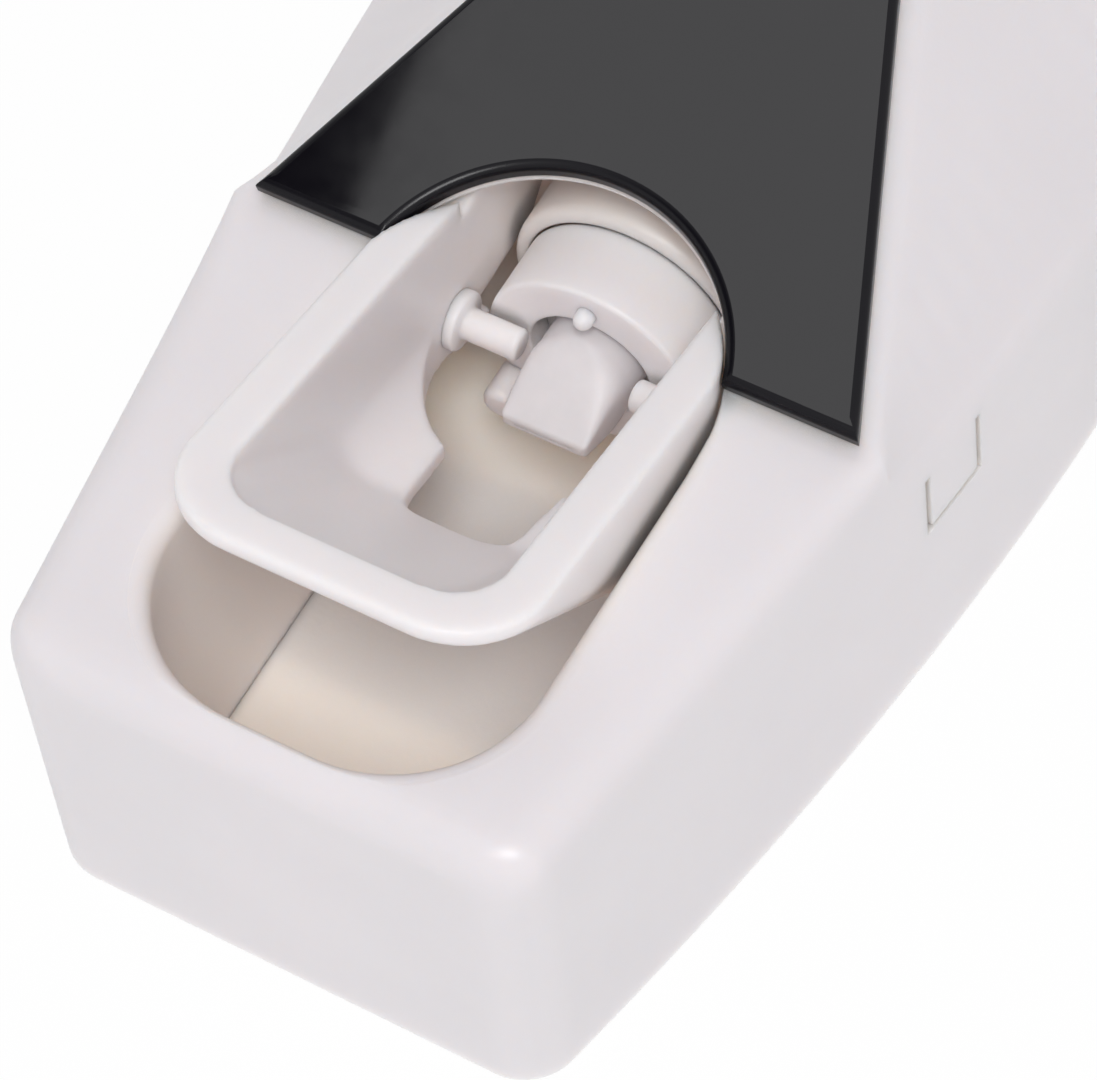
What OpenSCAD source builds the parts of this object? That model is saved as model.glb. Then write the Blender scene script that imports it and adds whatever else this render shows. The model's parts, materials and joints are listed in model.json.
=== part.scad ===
// Wall-mounted toothpaste dispenser. A brush pushed into the lever at the front squeezes a small
// piston pump, and paste drops from a flat rubber nozzle. The tube stands neck down in the top.
// Millimetres. +Z is up, the user stands at -Y, the wall is the plane y = 0.
// Modules are drawn with z = 0 at the bottom end, and from_wall() moves the origin to the wall mount.

/* [Body] */
// Height of the body
body_h = 155; // [140:1:175]
// Width across the bottom end
base_w = 48; // [44:1:52]
// Width across the front face where it bends
bend_w = 62; // [60:1:64]
// Greatest width, at the back
max_w = 75; // [72:1:80]
// Depth of the bottom end
base_depth = 38; // [36:1:42]
// Depth at the bend of the front face
bend_depth = 36; // [35:0.5:40]
// Height of the bend above the bottom end
bend_h = 48.6; // [46:0.2:52]
// Forward lean of the front above the bend, in degrees
lean = 15; // [12:1:18]
// Depth of the straight sides, from the wall to the crease
side_depth = 28.5; // [26:0.5:31]
// Wall thickness of the mouldings
wall = 2.2; // [1.8:0.1:2.6]
// Rounding of the edges round the bottom and top ends
end_round = 4; // [2:0.5:5]
// Height of the wall mount above the bottom end
mount_h = 75; // [60:1:95]

/* [Front panel] */
// Width of the panel along its lower edge
panel_w = 57; // [54:0.5:58]
// Width of the panel at its top end
panel_top_w = 21; // [18:1:26]
// How far the panel stands proud of the shell
panel_t = 2; // [1.2:0.1:2.6]

/* [Opening] */
// Radius of the round top of the opening and of the notch in the panel
notch_r = 16.6; // [16:0.1:17.5]
// How far the notch centre lies below the lower edge of the panel
notch_drop = 4.3; // [3:0.1:5]
// Height of the bottom of the opening above the bottom end
well_bottom = 3.4; // [3:0.1:6]
// Corner radius at the bottom of the opening
well_corner_r = 13; // [9:0.5:15]
// Rounding of the edge of the opening
lip_r = 1.7; // [0.6:0.1:2.4]

/* [Lever] */
// Gap between each side of the lever and the opening
lever_gap = 0.7; // [0.4:0.1:1.2]
// Width of the rim of the lever
rim_w = 4.1; // [3:0.1:4.5]
// Height of the lower end of the lever
lever_bottom = 12; // [10:0.5:15]
// Thickness of the lever's floor
lever_floor = 2.2; // [1.6:0.1:2.8]
// Height of the pivot above the bottom end
pivot_h = 70; // [68:0.5:72]
// Distance of the pivot from the wall
pivot_y = 35.5; // [34.5:0.1:36]
// Radius of the pivot pins
pivot_r = 1.5; // [1.2:0.1:1.8]
// Full swing of the lever, in degrees
lever_swing = 15; // [10:1:16]
// Radius of the two lifting pegs
peg_r = 1.5; // [1.2:0.1:1.7]
// Distance of each peg's tip from the middle
peg_tip = 5.5; // [5.2:0.1:7]

/* [Pump] */
// Distance of the pump and tube axis from the wall
pump_y = 22; // [21:0.2:23]
// Height of the lower face of the collar
collar_h = 54.5; // [54:0.1:55.5]
// Outer radius of the collar at its lower face
collar_r = 9.8; // [9:0.1:10]
// Outer radius of the pump cylinder
cylinder_r = 11.6; // [11.4:0.1:11.8]
// Radius of the pump bore
bore_r = 8.4; // [7.5:0.1:8.8]
// Height of the lower edge of the cylinder
cylinder_h0 = 61.6; // [61:0.1:63]
// Width of the nozzle's tip
nozzle_w = 8.4; // [6:0.2:9]
// Thickness of the spring wire
spring_wire = 0.9; // [0.6:0.1:1.1]
// Number of turns of the return spring
spring_turns = 5; // [4:1:6]
// Running clearance of the pivot pins and the collar, radial
running_gap = 0.05; // [0.02:0.01:0.1]

/* [Tube holder] */
// Radius of the socket for the tube's neck
neck_r = 7.5; // [6:0.5:8]
// Depth of the socket
neck_depth = 13; // [10:1:16]
// Radius of the opening for the tube in the top
tube_r = 19.5; // [18:0.5:20.5]

/* [Back and fasteners] */
// Thickness of the adhesive pads
pad_t = 1; // [0.8:0.1:2]
// Thickness of the back cover
cover_t = 2.2; // [1.8:0.1:2.6]
// Gap between parts that fit into each other
fit_gap = 0.3; // [0.2:0.05:0.5]
// Core radius of the small self-tapping screws
screw_r = 1.1; // [0.9:0.1:1.3]

/* [Hidden] */
tape_t = 0.4;

// Levels and places that several pieces share
front_lean = tan(lean);
panel_h0 = bend_h + 0.3;
top_inner = body_h - wall;
notch_h = panel_h0 - notch_drop * cos(lean);
well_r = notch_r + 0.3;
lever_w = 2 * (well_r - lever_gap);
skirt_t = 1.8;
cheek_x = well_r + 2.1;
cheek_top = pivot_h + 4;
peg_h = collar_h - peg_r - 0.5;
peg_y = pump_y + 1.7;
// Lift of the pegs over the full swing, which the collar follows
lift = (pivot_y - peg_y) * sin(lever_swing) + (pivot_h - peg_h) * (1 - cos(lever_swing));
collar_top = collar_h + 7.5;
stem_r = 5.4;
seal_h = collar_top + 9;
seal_t = 4;
land_t = 0.7;
// Roof of the pump chamber: room for the lift and for the closed spring
chamber_top = seal_h + seal_t + land_t + lift + (spring_turns + 1) * spring_wire + 0.25;
cylinder_top = chamber_top + 3;
deck_h = 76;
deck_t = 2.4;
flange_y = 8;
ear_x = cylinder_r + 5.9;
post_x = ear_x + 7.5;
post_hs = [80, 96];
screw_head_r = 2.4;

function smooth_fall(h, length) = exp(-abs(h - bend_h) / length);

// Half-width of the back edge and of the front edge of the side wall at a height
function back_half(h) = max_w / 2 - (max_w - base_w) / 2 * pow(max(0, 1 - h / 95), 1.8);
function side_half(h) = h < bend_h
    ? base_w / 2 + (bend_w - base_w) / 2 * h / bend_h
    : back_half(h) - back_half(bend_h) + bend_w / 2;
function side_x(h, y) = back_half(h) - (back_half(h) - side_half(h)) * y / bend_depth;

// Distance of the front face from the wall
function front_y(h) = h < bend_h
    ? base_depth + (bend_depth - base_depth) * h / bend_h
    : bend_depth + front_lean * (h - bend_h);

// Half-width of the panel at a distance s up its slope: straight at first, then easing to its top width
taper = 0.385;
taper_end = 2 * (panel_w - panel_top_w) / 2 / taper - 36;
function panel_half(s) = s < 36
    ? panel_w / 2 - taper * s
    : s < taper_end
        ? panel_top_w / 2 + taper * pow(taper_end - s, 2) / (taper_end - 36) / 2
        : panel_top_w / 2;
function slope_at(h) = (h - panel_h0) / cos(lean);
function front_half(h) = h < bend_h
    ? side_half(h)
    : panel_half(max(0, slope_at(h))) + 1.2 + (side_half(bend_h) - panel_w / 2 - 1.2) * smooth_fall(h, 3);
function crease_y(h) = side_depth + 3 * smooth_fall(h, 5);

// Drawing-in of the outline near the two round ends
function end_inset(h) = let (d = min(h, body_h - h, end_round) - end_round)
    end_round - sqrt(max(0, end_round * end_round - d * d));

// Quadratic curve that rounds the corner b between a and c, starting t before and ending t after it
function toward(b, a, t) = b + (a - b) * t / norm(a - b);
function round_corner(a, b, c, t, steps = 6) = let (p = toward(b, a, t), q = toward(b, c, t))
    [for (i = [0:steps]) let (u = i / steps) p * pow(1 - u, 2) + b * 2 * u * (1 - u) + q * u * u];

// Right half of the body's cross-section at height h, drawn in by inset, from the back to the middle
function half_section(h, inset, back) = let (
        f = h < bend_h ? 1 : 0.45 + 0.55 * smooth_fall(h, 3),
        cy = crease_y(h) - 0.4 * inset,
        a = [side_x(h, back) - inset, -back],
        c = [side_x(h, cy) - inset, -cy],
        d = [front_half(h) - f * inset, -front_y(h) + inset],
        t = h < bend_h ? 4 - 2.3 * smooth_fall(h, 8) : 1.7)
    concat([a], round_corner(a, c, d, 1.9), round_corner(c, d, [0, d[1]], t));
function section(h, inset, back) = let (half = half_section(h, inset, back), n = len(half))
    concat([for (p = half) [p[0], p[1], h]], [for (i = [n - 1:-1:0]) [-half[i][0], half[i][1], h]]);

// Solid through a list of rings that have the same number of points
module loft(rings) {
    n = len(rings[0]);
    m = len(rings);
    sides = [for (i = [0:m - 2]) for (j = [0:n - 1]) for (k = [0, 1])
        let (a = i * n + j, b = i * n + (j + 1) % n)
        k == 0 ? [a, b, a + n] : [b, b + n, a + n]];
    polyhedron([for (r = rings) for (p = r) p],
        concat(sides, [[for (j = [n - 1:-1:0]) j], [for (j = [0:n - 1]) (m - 1) * n + j]]));
}

body_levels = [8, 16, 24, 32, 40, 44.5, bend_h, bend_h + 1.6, bend_h + 3.6, bend_h + 6, 58, 63,
    69, 76, 85, 94, 104, 116, 130, 143];
end_steps = [for (i = [0:5]) end_round * (1 - cos(i * 18))];

// The body's form, drawn in by inset from level h0 to level h1
module body_form(inset, back, h0, h1) {
    ends = inset == 0 ? end_steps : [h0];
    levels = concat(ends, body_levels, inset == 0 ? [for (i = [5:-1:0]) body_h - end_steps[i]] : [h1]);
    loft([for (h = levels) section(h, inset == 0 ? end_inset(h) : inset, back)]);
}

// Opening of the shell as points that run round it, grown outward by d
well_centre_h = well_bottom + well_corner_r;
function well_points(d) = let (r = well_r + d, c = well_corner_r + d, x = well_r - well_corner_r)
    concat([for (a = [0:7.5:180]) [r * cos(a), notch_h + r * sin(a) * cos(lean)]],
        [for (a = [180:10:270]) [-x + c * cos(a), well_centre_h + c * sin(a)]],
        [for (a = [270:10:360]) [x + c * cos(a), well_centre_h + c * sin(a)]]);
module well_outline(d) polygon(well_points(d));
function lip_at(h) = h < bend_h - 8 ? lip_r : max(0.25, lip_r * (1 - (h - bend_h + 8) / 9));
module well_cutter() {
    base = well_points(0);
    grown = well_points(1);
    n = len(base);
    function point(i, grow, y) = let (w = grown[i] - base[i])
        [base[i][0] + w[0] * grow, -y, base[i][1] + w[1] * grow];
    loft(concat(
        [[for (i = [0:n - 1]) point(i, lip_at(base[i][1]) + 0.6, 70)]],
        [for (t = [0:18:90]) [for (i = [0:n - 1]) let (h = base[i][1], r = lip_at(h))
            point(i, r * (1 - sin(t)) + (t == 0 ? 0.6 : 0), front_y(h) - r * (1 - cos(t)) + (t == 0 ? 0.6 : 0))]],
        [[for (i = [0:n - 1]) point(i, 0, pad_t - 2)]]));
}

// Profiles drawn flat and pulled along an axis: x and height along y, or distance and height along x
module along_y(y0, y1) translate([0, -y0, 0]) rotate([90, 0, 0]) linear_extrude(y1 - y0) children();
module along_x(x0, x1) translate([x0, 0, 0]) rotate([90, 0, 90]) linear_extrude(x1 - x0) children();
module both_sides() {
    children();
    mirror([1, 0, 0]) children();
}
module from_wall() translate([0, 0, -mount_h]) children();
module on_pump_axis(h) translate([0, -pump_y, h]) children();
module tube(r_out, r_in, h) difference() {
    cylinder(r = r_out, h = h, $fn = 64);
    translate([0, 0, -1]) cylinder(r = r_in, h = h + 2, $fn = 64);
}
module pin_along_x(r, x0, x1) translate([x0, 0, 0]) rotate([0, 90, 0]) cylinder(r = r, h = x1 - x0, $fn = 32);
module pin_along_y(r, y0, y1) translate([0, -y0, 0]) rotate([90, 0, 0]) cylinder(r = r, h = y1 - y0, $fn = 32);

// Front shell with the well, the two pivot cheeks, the screw posts and the latch tongues
latch_h = 58;
latch_size = 8.4;
latch_back = 20;
latch_slot = 0.7;
latch_reach = 7;
module latch_slots() both_sides() along_x(bend_w / 2 - 4, max_w / 2 + 1) difference() {
    translate([-latch_back - latch_reach, latch_h - latch_size / 2])
        square([latch_reach + latch_slot, latch_size]);
    translate([-latch_back - latch_reach - 1, latch_h - latch_size / 2 + latch_slot])
        square([latch_reach + 1, latch_size - 2 * latch_slot]);
}
module well_skirt() along_y(pad_t + cover_t + fit_gap, base_depth) difference() {
    well_outline(skirt_t);
    translate([-max_w / 2, notch_h - 1]) square([max_w, max_w]);
}
module pivot_cheeks() both_sides() along_x(well_r + 0.1, cheek_x) polygon([
    [9.5 - pivot_y, notch_h - 4], [9.5 - pivot_y, pivot_h - 10], [4.5 - pivot_y, cheek_top],
    [-front_y(cheek_top), cheek_top], [-front_y(cheek_top), notch_h - 4]]);
// Tapered posts for the bracket screws, each with a web down to the side of the shell
module post_slice(r, y) pin_along_y(r, y, y + 0.1);
module screw_posts() both_sides() for (h = post_hs) translate([post_x, 0, h]) {
    hull() {
        post_slice(3, flange_y);
        post_slice(4.4, 56);
    }
    hull() {
        translate([0, -24, -0.7]) cube([16, 1, 1.4]);
        translate([0, -56, -0.7]) cube([16, 1, 1.4]);
    }
}
module front_shell() color("whitesmoke") from_wall() difference() {
    union() {
        difference() {
            body_form(0, pad_t, 0, body_h);
            body_form(wall, pad_t - 3, wall, top_inner);
        }
        intersection() {
            body_form(wall / 2, pad_t, wall / 2, body_h - wall / 2);
            union() {
                well_skirt();
                pivot_cheeks();
                screw_posts();
            }
        }
    }
    well_cutter();
    on_pump_axis(top_inner - 1) cylinder(r = tube_r, h = wall + 3, $fn = 96);
    both_sides() for (h = post_hs) translate([post_x, 0, h]) pin_along_y(screw_r, flange_y - 1, 20);
    translate([0, -pivot_y, pivot_h]) pin_along_x(pivot_r + 0.02, -cheek_x - 1, cheek_x + 1);
    // Room for the heads of the pivot pins and for the pump, wherever the walls come near them
    both_sides() translate([0, -pivot_y, pivot_h]) pin_along_x(screw_head_r + fit_gap, cheek_x, cheek_x + 1.2);
    on_pump_axis(cylinder_h0 - 1) cylinder(r = cylinder_r + fit_gap, h = cylinder_top - cylinder_h0, $fn = 64);
    latch_slots();
}

// Gloss panel with the round notch in its lower edge, and the tape behind it
panel_s1 = (body_h - end_round - 0.5 - panel_h0) / cos(lean);
panel_end_r = 3;
panel_steps = [for (s = [0:4:panel_s1 - panel_end_r - 1]) s];
module panel_outline(inset) difference() {
    polygon(concat(
        [for (s = panel_steps) [panel_half(s) - inset, max(s, inset)]],
        [for (a = [0:15:180]) [(panel_top_w / 2 - inset) * cos(a),
            panel_s1 - panel_end_r + (panel_end_r - inset) * sin(a)]],
        [for (i = [len(panel_steps) - 1:-1:0]) [inset - panel_half(panel_steps[i]), max(panel_steps[i], inset)]]));
    translate([0, -notch_drop]) circle(r = notch_r + inset, $fn = 96);
}
module on_slope(rise) translate([0, -front_y(panel_h0), panel_h0]) rotate([90 + lean, 0, 0])
    translate([0, 0, rise]) children();
module front_panel() color([0.27, 0.26, 0.28]) from_wall() on_slope(tape_t)
    linear_extrude(panel_t - tape_t) panel_outline(0);
module panel_tape() color("dimgray") from_wall() on_slope(0.05) linear_extrude(tape_t - 0.05) panel_outline(2);

// Back cover that closes the shell, its spring hooks, and the pads that hold it on the wall
pad_hs = [38, mount_h, 118];
pad_w = 42;
pad_l = 24;
module pad_outline(h, grow) translate([0, h])
    square([pad_w + 2 * grow, pad_l + 2 * grow], center = true);
function cover_half(h) = side_x(h, pad_t + cover_t) - wall - fit_gap;
cover_h0 = wall + fit_gap;
cover_h1 = top_inner - fit_gap;
cover_steps = [for (i = [0:16]) cover_h0 + (cover_h1 - cover_h0) * i / 16];
module cover_outline() polygon(concat([for (h = cover_steps) [cover_half(h), h]],
    [for (i = [16:-1:0]) [-cover_half(cover_steps[i]), cover_steps[i]]]));
hook_x = side_x(latch_h, latch_back) - wall - fit_gap - 0.4;
hook_t = 1.6;
hook_w = 5.2;
module cover_hooks() both_sides() translate([hook_x - hook_t, 0, latch_h - hook_w / 2])
    linear_extrude(hook_w) polygon([[0, -pad_t - 0.5], [hook_t, -pad_t - 0.5], [hook_t, 2 - latch_back],
        [hook_t + 0.25, 1 - latch_back], [hook_t, -latch_back], [0, -latch_back]]);
module cover_ribs() both_sides() translate([13.2, -pad_t - cover_t - 1.6, pivot_h - 6])
    cube([1.6, 1.6 + cover_t / 2, body_h - pivot_h - 12]);
module back_cover() color("white") from_wall() difference() {
    union() {
        along_y(pad_t, pad_t + cover_t) cover_outline();
        cover_hooks();
        cover_ribs();
    }
    for (h = pad_hs) along_y(pad_t - 1, pad_t + 0.5) pad_outline(h, 0.2);
}
module adhesive_pads() color("silver") from_wall() for (h = pad_hs) along_y(0, pad_t + 0.5) pad_outline(h, 0);

// Lever: a tray that leans out of the well, with a keyhole window in its back and two side arms
rim_lean = 13.5;
rim_y = 47.8;
rim_top = notch_h + notch_r * cos(lean) - 4;
rim_len = (rim_top - lever_bottom) / cos(rim_lean);
tray_back_h = 32;
tray_back_y = 26;
tray_back_lean = 19;
arm_t = 2.8;
arc_gap = 0.4;
hub_r = 3.2;
inner_half = lever_w / 2 - rim_w;
window_h = 50;
window_bottom = 29.8;
window_half = 6.4;
window_foot = 5.2;
window_corner_r = 3.5;
module on_rim(rise) translate([0, -rim_y, lever_bottom]) rotate([90 - rim_lean, 0, 0])
    translate([0, 0, rise]) children();
// Plate with its two lower corners rounded
module rim_plate(half, low, high, r, t) linear_extrude(t) difference() {
    translate([-half, low]) square([2 * half, high - low]);
    for (k = [-1, 1]) difference() {
        translate([k * (half - r / 2), low + r / 2]) square(r + 0.01, center = true);
        translate([k * (half - r), low + r]) circle(r = r, $fn = 32);
    }
}
// Balls that round the back of the tray, at a depth in front of its outer face
module tray_balls(half, r, depth, h0, h1) for (k = [-1, 1]) for (h = [h0, h1])
    translate([k * (half - r), -tray_back_y + tan(tray_back_lean) * (h - tray_back_h) - depth * cos(tray_back_lean),
        h + depth * sin(tray_back_lean)]) sphere(r = r, $fn = 32);
module tray() difference() {
    hull() {
        on_rim(-1.6) rim_plate(lever_w / 2, 0, rim_len, 8, 1.6);
        tray_balls(lever_w / 2, 6, 6, tray_back_h, window_h);
    }
    hull() {
        on_rim(-1) rim_plate(inner_half, rim_w, rim_len + 12, 5, 4);
        tray_balls(inner_half, 4.5, lever_floor + 4.5, tray_back_h, window_h + 12);
    }
    translate([-lever_w, -rim_y - 5, rim_top]) cube([2 * lever_w, rim_y, 30]);
    // The upper end follows the arc of the notch, clear of it
    along_y(0, rim_y + 5) translate([0, notch_h - 0.2]) difference() {
        translate([-lever_w, 0]) square([2 * lever_w, 30]);
        scale([1, cos(lean)]) circle(r = notch_r - arc_gap, $fn = 96);
    }
    along_y(0, tray_back_y + 9) {
        translate([0, window_h]) circle(r = inner_half - 0.1, $fn = 64);
        hull() {
            for (k = [-1, 1]) translate([k * (window_foot - window_corner_r), window_bottom + window_corner_r])
                circle(r = window_corner_r, $fn = 48);
            translate([-window_half, window_h - inner_half]) square([2 * window_half, inner_half]);
        }
    }
}
// The arms' front edge stays clear of the inside of the sloping front
function arm_front(h) = [wall / cos(lean) + fit_gap + 0.1 - max(front_y(h), bend_depth), h];
module arm_outline() difference() {
    union() {
        polygon([arm_front(peg_h - 6), arm_front(peg_h + 4), arm_front(pivot_h - 8), [-pivot_y - 2.5, pivot_h - 3],
            [-pivot_y - 2.5, pivot_h], [0.5 - pivot_y, pivot_h + 3], [6.5 - pivot_y, pivot_h + 2.5],
            [-pump_y, pivot_h - 4], [1.2 - pump_y, peg_h - 3.5], [-pump_y - 2, peg_h - 10.5],
            [-pump_y - 8, peg_h - 12.5]]);
        translate([-pivot_y, pivot_h]) circle(r = hub_r, $fn = 48);
    }
    translate([-pivot_y, pivot_h]) circle(r = pivot_r + running_gap, $fn = 48);
}
module lever_arms() both_sides() {
    difference() {
        along_x(inner_half, inner_half + arm_t) arm_outline();
        // Relief, so that the arms also pass a wider cylinder
        on_pump_axis(cylinder_h0 - 2) cylinder(r = cylinder_r + 0.45, h = pivot_h, $fn = 64);
    }
    translate([0, -pivot_y, pivot_h]) difference() {
        pin_along_x(hub_r, inner_half + arm_t - 0.2, lever_w / 2 + 0.2);
        pin_along_x(pivot_r + running_gap, inner_half, lever_w);
    }
    translate([0, -peg_y, peg_h]) {
        pin_along_x(peg_r, peg_tip, inner_half + 0.4);
        pin_along_x(2.8, inner_half - 1.1, inner_half + 0.4);
    }
}
module push_lever() color("white") from_wall() {
    tray();
    lever_arms();
}
module pivot_pins() color("silver") from_wall() both_sides() translate([0, -pivot_y, pivot_h]) {
    pin_along_x(pivot_r, inner_half + 0.4, cheek_x + 0.5);
    pin_along_x(screw_head_r, cheek_x + 0.02, cheek_x + 0.9);
}

// Pump cylinder, hung in the bracket by two screwed ears, with the inlet ports in its roof
flange_h = deck_h + deck_t;
flange_t = 2.4;
ear_r = 3.2;
module pump_cylinder() color("gainsboro") from_wall() on_pump_axis(0) difference() {
    union() {
        translate([0, 0, cylinder_h0]) cylinder(r = cylinder_r, h = cylinder_top - cylinder_h0, $fn = 64);
        difference() {
            translate([0, 0, flange_h]) cylinder(r = cylinder_r + 2, h = flange_t, $fn = 64);
            translate([-max_w / 2, pump_y - flange_y - fit_gap, 0]) cube([max_w, 10, body_h]);
        }
        both_sides() translate([ear_x, 0, flange_h]) cylinder(r = ear_r, h = flange_t, $fn = 48);
        translate([-ear_x, -ear_r, flange_h]) cube([2 * ear_x, 2 * ear_r, flange_t]);
    }
    translate([0, 0, cylinder_h0 - 1]) cylinder(r = collar_r + 0.5, h = seal_h - 2 - cylinder_h0 + 1, $fn = 64);
    translate([0, 0, cylinder_h0]) cylinder(r = bore_r, h = chamber_top - cylinder_h0, $fn = 64);
    translate([0, 0, chamber_top - 1]) cylinder(r = 1.3, h = 6, $fn = 32);
    for (a = [0:60:300]) rotate(a) translate([3.6, 0, chamber_top - 1]) cylinder(r = 1.2, h = 6, $fn = 32);
    both_sides() translate([ear_x, 0, flange_h - 1]) cylinder(r = screw_r + 0.3, h = 6, $fn = 32);
}

// Collar and piston in one piece, with the nozzle seat below and the seal groove on top
stem_bore_r = 3;
seat_r = 5.9;
seat_depth = 5.5;
groove_r = 6;
module pump_collar() color("ghostwhite") from_wall() on_pump_axis(0) difference() {
    union() {
        translate([0, 0, collar_h]) cylinder(r1 = collar_r, r2 = collar_r - 0.3, h = collar_top - collar_h, $fn = 64);
        translate([0, 0, collar_top - 1]) cylinder(r = stem_r, h = seal_h - collar_top + 1.5, $fn = 48);
        translate([0, 0, seal_h - land_t]) cylinder(r = bore_r - 0.8, h = land_t, $fn = 48);
        translate([0, 0, seal_h - 0.5]) cylinder(r = groove_r, h = seal_t + 0.8, $fn = 48);
        translate([0, 0, seal_h + seal_t]) cylinder(r = bore_r - 0.8, h = land_t, $fn = 48);
        translate([0, -collar_r + 2.4, collar_h - 0.7]) {
            cylinder(r = 0.9, h = 2, $fn = 24);
            sphere(r = 0.9, $fn = 24);
        }
        both_sides() translate([7.6, 7, collar_h - 3.6]) {
            cylinder(r = 1.7, h = 5, $fn = 32);
            translate([0.5, 0, 0]) sphere(r = 0.9, $fn = 24);
        }
    }
    translate([0, 0, collar_h - 1]) cylinder(r = seat_r, h = seat_depth + 1, $fn = 48);
    translate([0, 0, collar_h]) cylinder(r = stem_bore_r, h = 40, $fn = 48);
}
module piston_seal() color("dimgray") from_wall() on_pump_axis(seal_h + 0.02)
    tube(bore_r - running_gap, groove_r + 0.02, seal_t - 0.04);

// Rubber nozzle: a round base that flattens to a slit, held by a ring in the collar
nozzle_top = collar_h + seat_depth;
nozzle_r = 4.7;
nozzle_tip_h = collar_h - 8.5;
module nozzle_form(r, tip_w, tip_t, h0, h1) hull() {
    translate([0, 0, h1]) cylinder(r = r, h = 0.6, $fn = 32);
    translate([-tip_w / 2, -tip_t / 2, h0]) cube([tip_w, tip_t, 0.6]);
}
module outlet_valve() color("snow") from_wall() on_pump_axis(0) difference() {
    union() {
        translate([0, 0, nozzle_top - 1]) cylinder(r = seat_r - 0.15, h = 0.98, $fn = 48);
        translate([0, 0, collar_h - 0.9]) cylinder(r = nozzle_r, h = seat_depth + 0.4, $fn = 48);
        nozzle_form(nozzle_r, nozzle_w, 1.8, nozzle_tip_h, collar_h - 1);
    }
    nozzle_form(nozzle_r - 1.2, nozzle_w - 2, 0.3, nozzle_tip_h + 0.8, collar_h);
    translate([0, 0, collar_h + 0.5]) cylinder(r = nozzle_r - 1.2, h = 8, $fn = 48);
    translate([1 - nozzle_w / 2, -0.15, nozzle_tip_h - 1]) cube([nozzle_w - 2, 0.3, 3]);
}
module valve_retainer() color("gainsboro") from_wall() on_pump_axis(nozzle_top - 2.6)
    tube(seat_r - 0.03, nozzle_r + 0.05, 1.58);

// Return spring: one unbroken tube along a helix
spring_r = 6.6;
spring_h0 = seal_h + seal_t + land_t + 0.05 + spring_wire / 2;
spring_h1 = chamber_top - 0.05 - spring_wire / 2;
rings_per_turn = 8;
wire_sides = 6;
function helix(u) = [spring_r * cos(360 * spring_turns * u), spring_r * sin(360 * spring_turns * u),
    spring_h0 + (spring_h1 - spring_h0) * u];
module return_spring() color("silver") from_wall() on_pump_axis(0) {
    count = spring_turns * rings_per_turn;
    loft([for (i = [0:count]) let (a = 360 * i / rings_per_turn, p = helix(i / count))
        [for (j = [0:wire_sides - 1]) let (b = -360 * j / wire_sides, d = spring_wire / 2 * cos(b))
            p + [d * cos(a), d * sin(a), spring_wire / 2 * sin(b)]]]);
    echo(spring_gap = (spring_h1 - spring_h0) / spring_turns - spring_wire);
}

// Umbrella valve under the roof of the cylinder
module inlet_valve() color("dimgray") from_wall() on_pump_axis(0) {
    translate([0, 0, chamber_top - 0.95]) cylinder(r = 5.2, h = 0.93, $fn = 48);
    translate([0, 0, chamber_top - 0.5]) cylinder(r = 1.2, h = cylinder_top - chamber_top + 1, $fn = 32);
    translate([0, 0, cylinder_top + 0.03]) cylinder(r1 = 1.9, r2 = 1, h = 1.2, $fn = 32);
}

// Bracket that carries the pump: an upright plate on the four posts, a deck and two gussets, which end
// short of the ears
gusset_y = pump_y - ear_r - 2.3;
socket_skirt_t = 1.8;
module pump_bracket() color("lightgray") from_wall() difference() {
    union() {
        along_y(flange_y - 2.2, flange_y) {
            translate([-post_x - 4, deck_h - 1]) square([2 * post_x + 8, 25]);
        }
        translate([-ear_x - 2.8, -34, deck_h]) cube([2 * ear_x + 5.6, 34 - flange_y + 1, deck_t]);
        both_sides() {
            translate([ear_x, -pump_y, deck_h - 2.4]) cylinder(r = 2.8, h = 3, $fn = 48);
            along_x(ear_x - 1, ear_x + 0.8) polygon([[0.5 - flange_y, deck_h + 1], [-gusset_y, deck_h + 1],
                [-gusset_y, flange_h], [0.5 - flange_y, flange_h + 14]]);
        }
    }
    on_pump_axis(deck_h - 5) cylinder(r = cylinder_r + 0.2, h = 12, $fn = 64);
    on_pump_axis(flange_h) cylinder(r = cylinder_r + socket_skirt_t + fit_gap, h = body_h, $fn = 64);
    both_sides() {
        on_pump_axis(deck_h - 4) translate([ear_x, 0, 0]) cylinder(r = screw_r, h = 8, $fn = 32);
        for (h = post_hs) translate([post_x, 0, h]) pin_along_y(screw_r + 0.4, 4, 9);
    }
}
module bracket_screws() color("silver") from_wall() both_sides() for (h = post_hs) translate([post_x, 0, h]) {
    pin_along_y(screw_head_r, flange_y - 3.8, flange_y - 2.22);
    pin_along_y(screw_r - 0.02, flange_y - 3, flange_y + 9);
}
module cylinder_screws() color("silver") from_wall() both_sides() on_pump_axis(0) translate([ear_x, 0, 0]) {
    translate([0, 0, flange_h + flange_t + 0.02]) cylinder(r = screw_head_r, h = 1.5, $fn = 32);
    translate([0, 0, deck_h - 2]) cylinder(r = screw_r - 0.02, h = flange_t + deck_t + 3, $fn = 32);
}

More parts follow.
